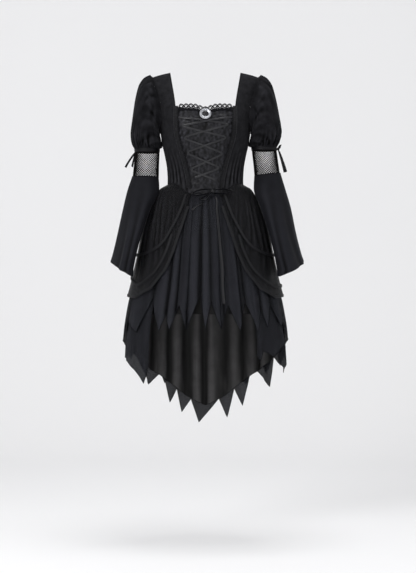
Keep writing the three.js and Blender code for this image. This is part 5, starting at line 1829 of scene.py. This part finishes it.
@dataclass
class Sleeve:
    """One sleeve: puff, band and tie, fishnet and bell."""

    side: Side
    velvet: ClothFinish = SHADED_PUFF_VELVET
    crepe: ClothFinish = CREPE
    ribbon: ClothFinish = SLEEVE_RIBBON
    thread: ClothFinish = FISHNET_THREAD
    head_gathers: int = 13
    bell_folds: int = 7
    bell_fold_depth: float = 8.0
    bell_hem: tuple[float, float] = (-579, -622)
    bell_hem_turn: float = 42.4
    bell_hem_dip: float = 5.0
    mesh_around: int = 32
    mesh_rows: int = 11
    mesh_turn: float = 0.009
    strand: float = 2.35
    tie_stand: float = 2.8

    @property
    def fit(self) -> SleeveFit:
        """How this sleeve sits."""
        return FITS[self.side]

    @property
    def seam_x(self) -> float:
        """The middle of the arm at the band, on this side."""
        return self.fit.band[0] * self.side.value

    def sided(self, x: float, y: float, z: float) -> Vector:
        """A point on this side of the wearer."""
        return Vector((x * self.side.value, y, z))

    def armhole_point(self, turn: float) -> Vector:
        """A point on the armhole, from the top round by the front."""
        bodice = Bodice(gathers=0.0)
        front = turn <= 0.5
        place = (1 - 2 * turn if front else 2 * turn - 1) * 6
        point = bodice.point(bodice.rows(front), front, 1.0, 5 + place)
        return point + Vector((0.8, 0, 0))

    def puff_point(self, turn: float, down: float) -> Vector:
        """A point on the puff's outer face, without its gathers' sign of side.

        Args:
            turn: from 0 to 1 round the puff, from the top by the front
            down: from 0 at the armhole to 1 at the band

        Returns:
            the point on the wearer's left
        """
        at = down * len(PUFF) - 1
        row = max(0.0, at)
        top_x, top_z, under_x, under_z, depth = (PUFF_RINGS.read(row, i) for i in range(1, 6))
        angle = 2 * math.pi * turn
        towards_top = (1 + math.cos(angle)) / 2
        head = smooth(clamp((at + 1) / 1.2)) * (1 - smooth(clamp((at - 0.3) / 3.6)))
        cuff = smooth(clamp((at - 3.6) / 2.6)) * (1 - 0.85 * smooth(clamp((at - 6.3) / 0.7)))
        phase = turn * self.head_gathers
        seed = 30.0 + self.side.value
        drift = 0.9 * wander(math.cos(angle) * 2.5, math.sin(angle) * 2.5 + at * 0.25, seed)
        head_wave = wave(phase + drift) * (0.65 + 0.6 * wander(turn * 16, at * 0.3, seed + 2))
        cuff_wave = wave(phase * 1.15 + 2 * drift) * (0.7 + 0.6 * wander(turn * 19, at * 0.3, seed + 5))
        soft = 5.0 * wander(math.cos(angle) * 2.2, math.sin(angle) * 2.2 + at * 0.55, seed + 9)
        near_body = smooth(clamp((0.35 - towards_top) / 0.35))
        gather = 7.5 * head * towards_top * head_wave + 7.0 * cuff * cuff_wave * (1 - 0.9 * near_body)
        creases = sum(crease.height(turn, at) for crease in PUFF_CREASES) * clamp(at)
        size = 1 - (gather + max(0.0, soft) * (1 - near_body) - creases) / depth
        middle = Vector(((top_x + under_x) / 2, 0, (top_z + under_z) / 2))
        reach = Vector((top_x, 0, top_z)) - middle
        bulge = 4.6 * near_body * smooth(clamp(at / 1.2))
        bulge *= 1 - smooth(clamp((at - 5.4) / 1.6))
        bulge += self.fit.puff_out * towards_top * math.exp(-(((at - 4.3) / 1.4) ** 2))
        size += bulge / reach.length
        point = middle + reach * math.cos(angle) * size
        point.y -= depth * math.sin(angle) * size
        point.z -= self.fit.puff_drop * smooth(clamp((at - 3.5) / 3.5))
        if at < 0:
            point = self.armhole_point(turn).lerp(point, smooth(clamp(at + 1)) * 0.5 + 0.5 * (at + 1))
        return point

    def puff(self) -> None:
        """The velvet puff, gathered at its head and into the band."""

        def place(u: float, v: float) -> Vector:
            """A point on the puff, on its own side."""
            return self.sided(*self.puff_point(u % 1.0, v))

        obj = lay_cloth(f"velvet_puff_{self.side.word}", 168, 72, place, PUFF_CUT.size, closed=True, folds=(6, 2.2))
        middle_x = self.seam_x * MM
        face_outwards(obj, lambda c: Vector((middle_x, 0, clamp(c.z, -0.19, -0.1))))
        thicken(obj, 1.2)
        dress(obj, self.velvet, [f"puff_sleeve_{self.side.word}"])
        armhole = [self.sided(*(self.armhole_point(i / 72 % 1.0))) for i in range(73)]
        dress(lay_cord(f"armhole_seam_{self.side.word}", armhole, 0.7, 7), self.velvet)

    def band(self) -> None:
        """The satin band with a soft crease round it and a bound lower edge."""
        middle, top, height, full = self.fit.band

        def place(u: float, v: float) -> Vector:
            """A point round the band and down it."""
            angle = 2 * math.pi * u
            crease = 0.7 * wave(2 * v) + 0.25 * wander(math.cos(angle) * 3, math.sin(angle) * 3 + v, 40.0)
            radius = full - 0.9 + crease
            x = middle + 0.8 * v + radius * math.cos(angle)
            return self.sided(x, -radius * math.sin(angle), top - height * v)

        obj = lay_cloth(f"ribbon_band_{self.side.word}", 72, 10, place, BAND_CUT.size, closed=True)
        middle_x = self.seam_x * MM
        face_outwards(obj, lambda c: Vector((middle_x, 0, c.z)))
        thicken(obj, 1.4)
        dress(obj, self.ribbon, [f"sleeve_band_{self.side.word}"])

    def tie(self) -> None:
        """The tie on the band: a knot, two loops and two tails."""
        turn = math.radians(self.fit.tie_turn)
        middle, top, height, full = self.fit.band
        reach = full + self.tie_stand
        seat = Vector((middle + reach * math.cos(turn), -reach * math.sin(turn), top - height / 2))
        parts = []

        def tail(x: float, y: float, z: float, twist: float) -> None:
            """A ribbon end that falls from the knot."""
            stops = []
            for i in range(7):
                share = i / 6
                around = twist * (0.4 + 0.6 * math.sin(share * 4))
                at = Vector((mix(seat.x, x, share), mix(seat.y, y, smooth(share)), mix(seat.z, z, share**1.15)))
                width = mix(3.5, 6.4, min(1, share * 3))
                stops.append(Stop(
                    self.sided(*at), self.sided(0.85 * math.cos(around), math.sin(around), 0.5 * math.cos(around)),
                    self.sided(math.sin(around), -math.cos(around), 0), width,
                ))
            parts.append(lay_ribbon("tail", stops, 0.6, 0.7))

        def loop(y: float, z: float, out: float) -> None:
            """A loop of ribbon that leaves the knot and comes back to it."""
            route = (
                (0, 0, 0.7), (out, y * 0.55, z + 5), (out * 0.7, y, z), (out * 0.5, y * 0.5, z - 5), (0, 0, -0.7)
            )
            points = [seat + Vector(step) for step in route]
            stops = []
            side = Vector((1, 0, 0.2))
            for i in range(13):
                share = i / 12
                along = spline(points, min(1, share + 0.02)) - spline(points, max(0, share - 0.02))
                width = 7 * min(1, 0.45 + 4 * min(share, 1 - share))
                face = along.cross(side)
                stops.append(Stop(self.sided(*spline(points, share)), self.sided(*side), self.sided(*face), width))
            parts.append(lay_ribbon("loop", stops, 0.6, 0.4, 3))

        for end, twist in zip(self.fit.tails, (0.25, 0.45)):
            tail(*end, twist)
        for end in self.fit.loops:
            loop(*end)
        parts.append(knot(self.sided(*seat), 3.8))
        dress(join(parts, f"band_tie_{self.side.word}"), self.ribbon, [f"sleeve_tie_{self.side.word}"])

    def fishnet(self) -> None:
        """The fishnet sleeve: knotted diamonds, and the seam down its inner side."""
        around, rows = self.mesh_around, self.mesh_rows
        _, band_top, band_height, _ = self.fit.band
        (top_x, top_radius), (end_x, end_radius) = self.fit.net

        def place(u: float, v: float) -> Vector:
            """A point round the net sleeve and down it."""
            angle = 2 * math.pi * (u % 1.0 + self.mesh_turn)
            ripple = 0.8 * wander(math.cos(angle) * 2, math.sin(angle) * 2 + v * 3, 50.0)
            radius = mix(top_radius, end_radius, v) - 0.6 + ripple
            x = mix(top_x, end_x, v) + radius * math.cos(angle)
            z = mix(band_top - band_height, self.bell_rim(math.cos(angle)) - 2, v)
            return self.sided(x, -radius * math.sin(angle), z)

        obj = lay_cloth(f"fishnet_sleeve_{self.side.word}", around, rows, place, FISHNET_CUT.size, closed=True)
        middle_x = self.seam_x * MM
        face_outwards(obj, lambda c: Vector((middle_x, 0, c.z)))
        select_only(obj)
        bpy.ops.object.mode_set(mode="EDIT")
        bpy.ops.mesh.select_all(action="SELECT")
        bpy.ops.mesh.poke()
        bpy.ops.mesh.select_all(action="DESELECT")
        bpy.ops.object.mode_set(mode="OBJECT")
        mesh = obj.data
        corners = around * (rows + 1)
        ends = {mesh.vertices[i].index for i in range(corners)}
        open_edges = edge_faces(mesh)
        for edge in mesh.edges:
            a, b = edge.vertices
            edge.select = a in ends and b in ends and open_edges[edge.key] == 2
        bpy.ops.object.mode_set(mode="EDIT")
        bpy.ops.mesh.select_mode(type="EDGE")
        bpy.ops.mesh.dissolve_edges(use_verts=False)
        bpy.ops.object.mode_set(mode="OBJECT")
        wire = obj.modifiers.new("Strands", "WIREFRAME")
        wire.thickness = self.strand * MM
        wire.use_boundary = True
        wire.use_even_offset = False
        bpy.ops.object.modifier_apply(modifier=wire.name)

        def strip(u: float, v: float) -> Vector:
            """A point on the net's inner seam."""
            return place(0.5 + (u - 0.5) * 7 / 250, v) + self.sided(-0.5, 0, 0)

        seam = lay_cloth("net_seam", 4, 18, strip, (7, 70))
        face_outwards(seam, lambda c: Vector((middle_x, 0, c.z)))
        thicken(seam, 0.8, 0.0)
        obj = join([obj, seam], f"fishnet_sleeve_{self.side.word}")
        dress(obj, self.thread, [f"fishnet_{self.side.word}"])

    def bell_rim(self, outwards: float) -> float:
        """Height of the bell's upper edge, from -1 on its inner side to 1 on its outer side."""
        return mix(*self.fit.bell_top, (1 + outwards) / 2)

    def bell_point(self, turn: float, down: float) -> Vector:
        """A point on the bell's outer face.

        Args:
            turn: from 0 to 1 round the bell
            down: from 0 at the elbow to 1 at the hem

        Returns:
            the point on the wearer's left
        """
        table = self.fit.bell
        outer, inner = self.bell_hem
        angle = 2 * math.pi * turn
        c, s = math.cos(angle), math.sin(angle)
        across = (1 + math.cos(angle + math.radians(self.bell_hem_turn))) / 2
        rim = self.bell_rim(c)
        z = mix(rim, mix(inner, outer, across) - self.bell_hem_dip * s, down)
        fall = clamp((rim - z) / 295, 0, 1.1)
        reach = (table.read(z, 2) - table.read(z, 1)) / 2
        lean, swing = table.read(z, 4), table.read(z, 5)
        half = math.sqrt(reach**2 - swing**2)
        seed = 60.0 + 3 * self.side.value
        drift = 0.5 * wander(c * 1.2, s * 1.2 + down * 0.6, seed)
        flute = self.bell_fold_depth * fall * wave(self.bell_folds * turn + drift * fall)
        flute += 2.4 * fall * max(0.0, wander(c * 2.2, s * 2.2 + down, seed + 5))
        flute *= 1 - (0.85 if c < 0 else 0.5) * smooth(clamp((abs(c) - 0.72) / 0.2))
        flute -= 0.45 * smooth(clamp((down - 0.955) / 0.006))
        y = -lean - (table.read(z, 3) - flute) * s
        x = table.read(z, 1) + reach + (half - flute) * c - swing * s
        return Vector((x, y, z))

    def bell(self) -> None:
        """The crepe bell with a turned hem."""
        rows = 72

        def place(u: float, v: float) -> Vector:
            """A point on the bell, with its rows closer at the hem."""
            return self.sided(*self.bell_point(u % 1.0, 1 - (1 - v) ** 1.25))

        obj = lay_cloth(f"crepe_bell_{self.side.word}", 144, rows, place, BELL_CUT.size, closed=True, folds=(9, 3.0))

        def within(centre: Vector) -> Vector:
            """The bell's middle at a face's height."""
            z = centre.z / MM
            table = self.fit.bell
            middle = (table.read(z, 1) + table.read(z, 2)) / 2
            return self.sided(middle, -table.read(z, 4), z) * MM

        face_outwards(obj, within)
        thicken(obj, 0.8)
        dress(obj, self.crepe, [f"bell_sleeve_{self.side.word}"])
        rim = [self.sided(*self.bell_point(i / 72 % 1.0, 0.004)) for i in range(73)]
        dress(lay_cord(f"bell_rim_{self.side.word}", rim, 0.9, 6), HEM_ROLL)

    def build(self) -> None:
        """Builds the sleeve from the shoulder down."""
        self.puff()
        self.band()
        self.tie()
        self.fishnet()
        self.bell()


def edge_faces(mesh: bpy.types.Mesh) -> dict[tuple[int, int], int]:
    """How many faces meet at each edge."""
    count: dict[tuple[int, int], int] = {}
    for face in mesh.polygons:
        for key in face.edge_keys:
            count[key] = count.get(key, 0) + 1
    return count


def knot(at: Vector, radius: float) -> bpy.types.Object:
    """A ribbon knot: a ball with folds drawn round its waist."""
    clear_selection()
    bpy.ops.mesh.primitive_uv_sphere_add(segments=28, ring_count=18, radius=radius * MM)
    obj = bpy.context.object
    for vertex in obj.data.vertices:
        flat = vertex.co / (radius * MM)
        fold = 0.09 * math.cos(7 * flat.x + 1.5 * flat.z) + 0.06 * wander(flat.x * 2, flat.z * 2, 70.0)
        vertex.co = vertex.co * (0.93 + fold) + at * MM
    return obj


# Waist bow


@dataclass
class WaistBow:
    """The bow that ends the lacing, with its long and short tails."""

    ribbon: ClothFinish = RIBBON
    x: float = 21.0
    z: float = -367.0
    stand: float = 9.0
    knot_radius: float = 6.0
    loops: tuple[tuple[float, tuple[tuple[float, ...], ...]], ...] = (
        (8, ((0, 2), (18, 7, 13), (40, 6, 14.4), (54, 0, 13.3), (38, -6, 11.2), (16, -6, 10.6), (0, -2))),
        (8, ((0, 2), (-18, 6, 13), (-44, 2, 13), (-62, -8, 11), (-46, -12, 9), (-18, -7, 9), (0, -2))),
        (7, ((0, 0), (-10, -8, 13), (-24, -17, 12), (-36, -25, 9), (-22, -27, 7), (-8, -13, 7), (0, -1.5))),
    )
    long_tail: tuple[tuple[float, float, float], ...] = (
        (13.5, -383, 5), (13.6, -403, 5.5), (12.9, -430, 6), (13, -480, 7), (13.4, -540, 8), (14, -600, 8.5),
        (13.6, -655, 8.5), (13.8, -707, 9),
    )
    short_tail: tuple[tuple[float, float, float], ...] = (
        (-3, -405, 6), (-7, -409, 7), (-11, -416, 8), (-14.5, -425, 9),
    )

    def bow(self) -> None:
        """The knot and its loops."""
        seat = FORM.front_point(self.x, self.z, self.stand)
        side = Vector((0, -1, 0.5))
        parts = []
        for width, route in self.loops:
            points = []
            for step in route:
                if step[0]:
                    points.append(FORM.front_point(self.x + step[0], self.z + step[1], step[2]))
                else:
                    points.append(seat + Vector((0, 0, step[1])))
            stops = []
            for i in range(19):
                share = i / 18
                along = spline(points, min(1, share + 0.01)) - spline(points, max(0, share - 0.01))
                size = width * min(1, 0.45 + 4 * min(share, 1 - share))
                stops.append(Stop(spline(points, share), side, along.cross(side), size))
            parts.append(lay_ribbon("loop", stops, 0.6, 0.5, 3))
        ball = knot(seat, self.knot_radius)
        for vertex in ball.data.vertices:
            offset = vertex.co - seat * MM
            vertex.co = seat * MM + Vector((offset.x * 1.2, offset.y * 0.8, offset.z))
        parts.append(ball)
        dress(join(parts, "ribbon_bow"), self.ribbon, ["waist_bow"])

    def tail(self, name: str, node: str, route: Sequence[tuple[float, float, float]], lift: float) -> None:
        """A tail that hangs on the front chiffon.

        Args:
            name: the object's name
            node: the solid it stands for
            route: its places across and in height
            lift: how far it stands off the cloth
        """
        stops = []
        for angle, z, width in route:
            at = FORM.skirt_point(angle, z, Layer.CHIFFON, lift)
            before = FORM.skirt_point(angle - 1, z, Layer.CHIFFON, lift)
            side = FORM.skirt_point(angle + 1, z, Layer.CHIFFON, lift) - before
            tilt = side.normalized() + Vector((0, -0.25 * wander(z / 60, angle, 80.0), 0))
            stops.append(Stop(at, tilt, Vector((at.x * 0.5, at.y, 0)), width))
        dress(lay_ribbon(name, stops, 0.6, 0.7, 10), self.ribbon, [node])

    def build(self) -> None:
        """Builds the bow and its tails."""
        self.bow()
        self.tail("long_bow_tail", "bow_tail_long", self.long_tail, 1.1)
        self.tail("short_bow_tail", "bow_tail_short", self.short_tail, 0.7)


# Studio


@dataclass
class Studio:
    """The pale floor, the soft lights and the camera."""

    floor_z: float = -1.466
    camera_at: tuple[float, float, float] = (0.008, -4.5, -0.656)
    lens: float = 91.2
    pale: tuple[float, float, float] = (0.86, 0.86, 0.87)

    def backdrop(self) -> None:
        """A floor that curves up into a wall behind."""

        def place(u: float, v: float) -> Vector:
            """A point across the backdrop and along it."""
            reach = mix(-6.5, 9.0, v)
            bend = clamp((reach - 2.2) / 2.2)
            y = min(reach, 2.2 + 1.4 * math.sin(bend * math.pi / 2))
            z = self.floor_z + 1.4 * (1 - math.cos(bend * math.pi / 2)) + max(0.0, reach - 4.4)
            return Vector((mix(-7, 7, u), y, z)) / MM

        obj = lay_cloth("backdrop", 8, 120, place, (14000, 15000))
        nodes = Nodes("pale_paper")
        nodes.surface.inputs["Roughness"].default_value = 0.95
        nodes.surface.inputs["Base Color"].default_value = (*self.pale, 1)
        obj.data.materials.append(nodes.material)
        select_only(obj)
        bpy.ops.object.shade_smooth()

    def light(self, name: str, at: Sequence[float], towards: Sequence[float], size: float, power: float) -> None:
        """A soft square light.

        Args:
            name: the light's name
            at: its place, in metres
            towards: the place it faces
            size: its width, in metres
            power: in watts
        """
        data = bpy.data.lights.new(name, "AREA")
        data.shape = "SQUARE"
        data.size = size
        data.energy = power
        lamp = bpy.data.objects.new(name, data)
        lamp.location = at
        lamp.rotation_euler = (Vector(towards) - Vector(at)).to_track_quat("-Z", "Y").to_euler()
        bpy.context.scene.collection.objects.link(lamp)

    def build(self) -> None:
        """Sets up the stage."""
        self.backdrop()
        middle = (0, 0, -0.5)
        self.light("key", (-2.2, -3.2, 1.4), middle, 1.6, 85)
        self.light("fill", (2.6, -3.0, 0.6), middle, 1.8, 20)
        self.light("top", (0.2, -0.6, 2.6), middle, 1.4, 45)
        self.light("low", (0.0, -3.4, -1.1), (0, 0, -0.7), 0.9, 14)
        world = bpy.data.worlds.new("studio")
        world.use_nodes = True
        background = world.node_tree.nodes["Background"]
        background.inputs[0].default_value = (1.0, 1.0, 1.0, 1)
        background.inputs[1].default_value = 0.615
        scene = bpy.context.scene
        scene.world = world
        scene.view_settings.view_transform = "Standard"
        data = bpy.data.cameras.new("camera")
        data.lens = self.lens
        data.sensor_width = 36
        data.clip_end = 50
        camera = bpy.data.objects.new("camera", data)
        camera.location = self.camera_at
        camera.rotation_euler = (math.pi / 2, 0, 0)
        scene.collection.objects.link(camera)
        scene.camera = camera


def main() -> None:
    """Builds the dress and its studio."""
    logging.basicConfig(level=logging.INFO, format="%(message)s")
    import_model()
    Studio().build()
    Bodice().build()
    SatinFront().build()
    Skirt().build()
    for side in Side:
        NetOverskirt(side).build()
        Sleeve(side).build()
    WaistBow().build()


if __name__ == "__main__":
    main()
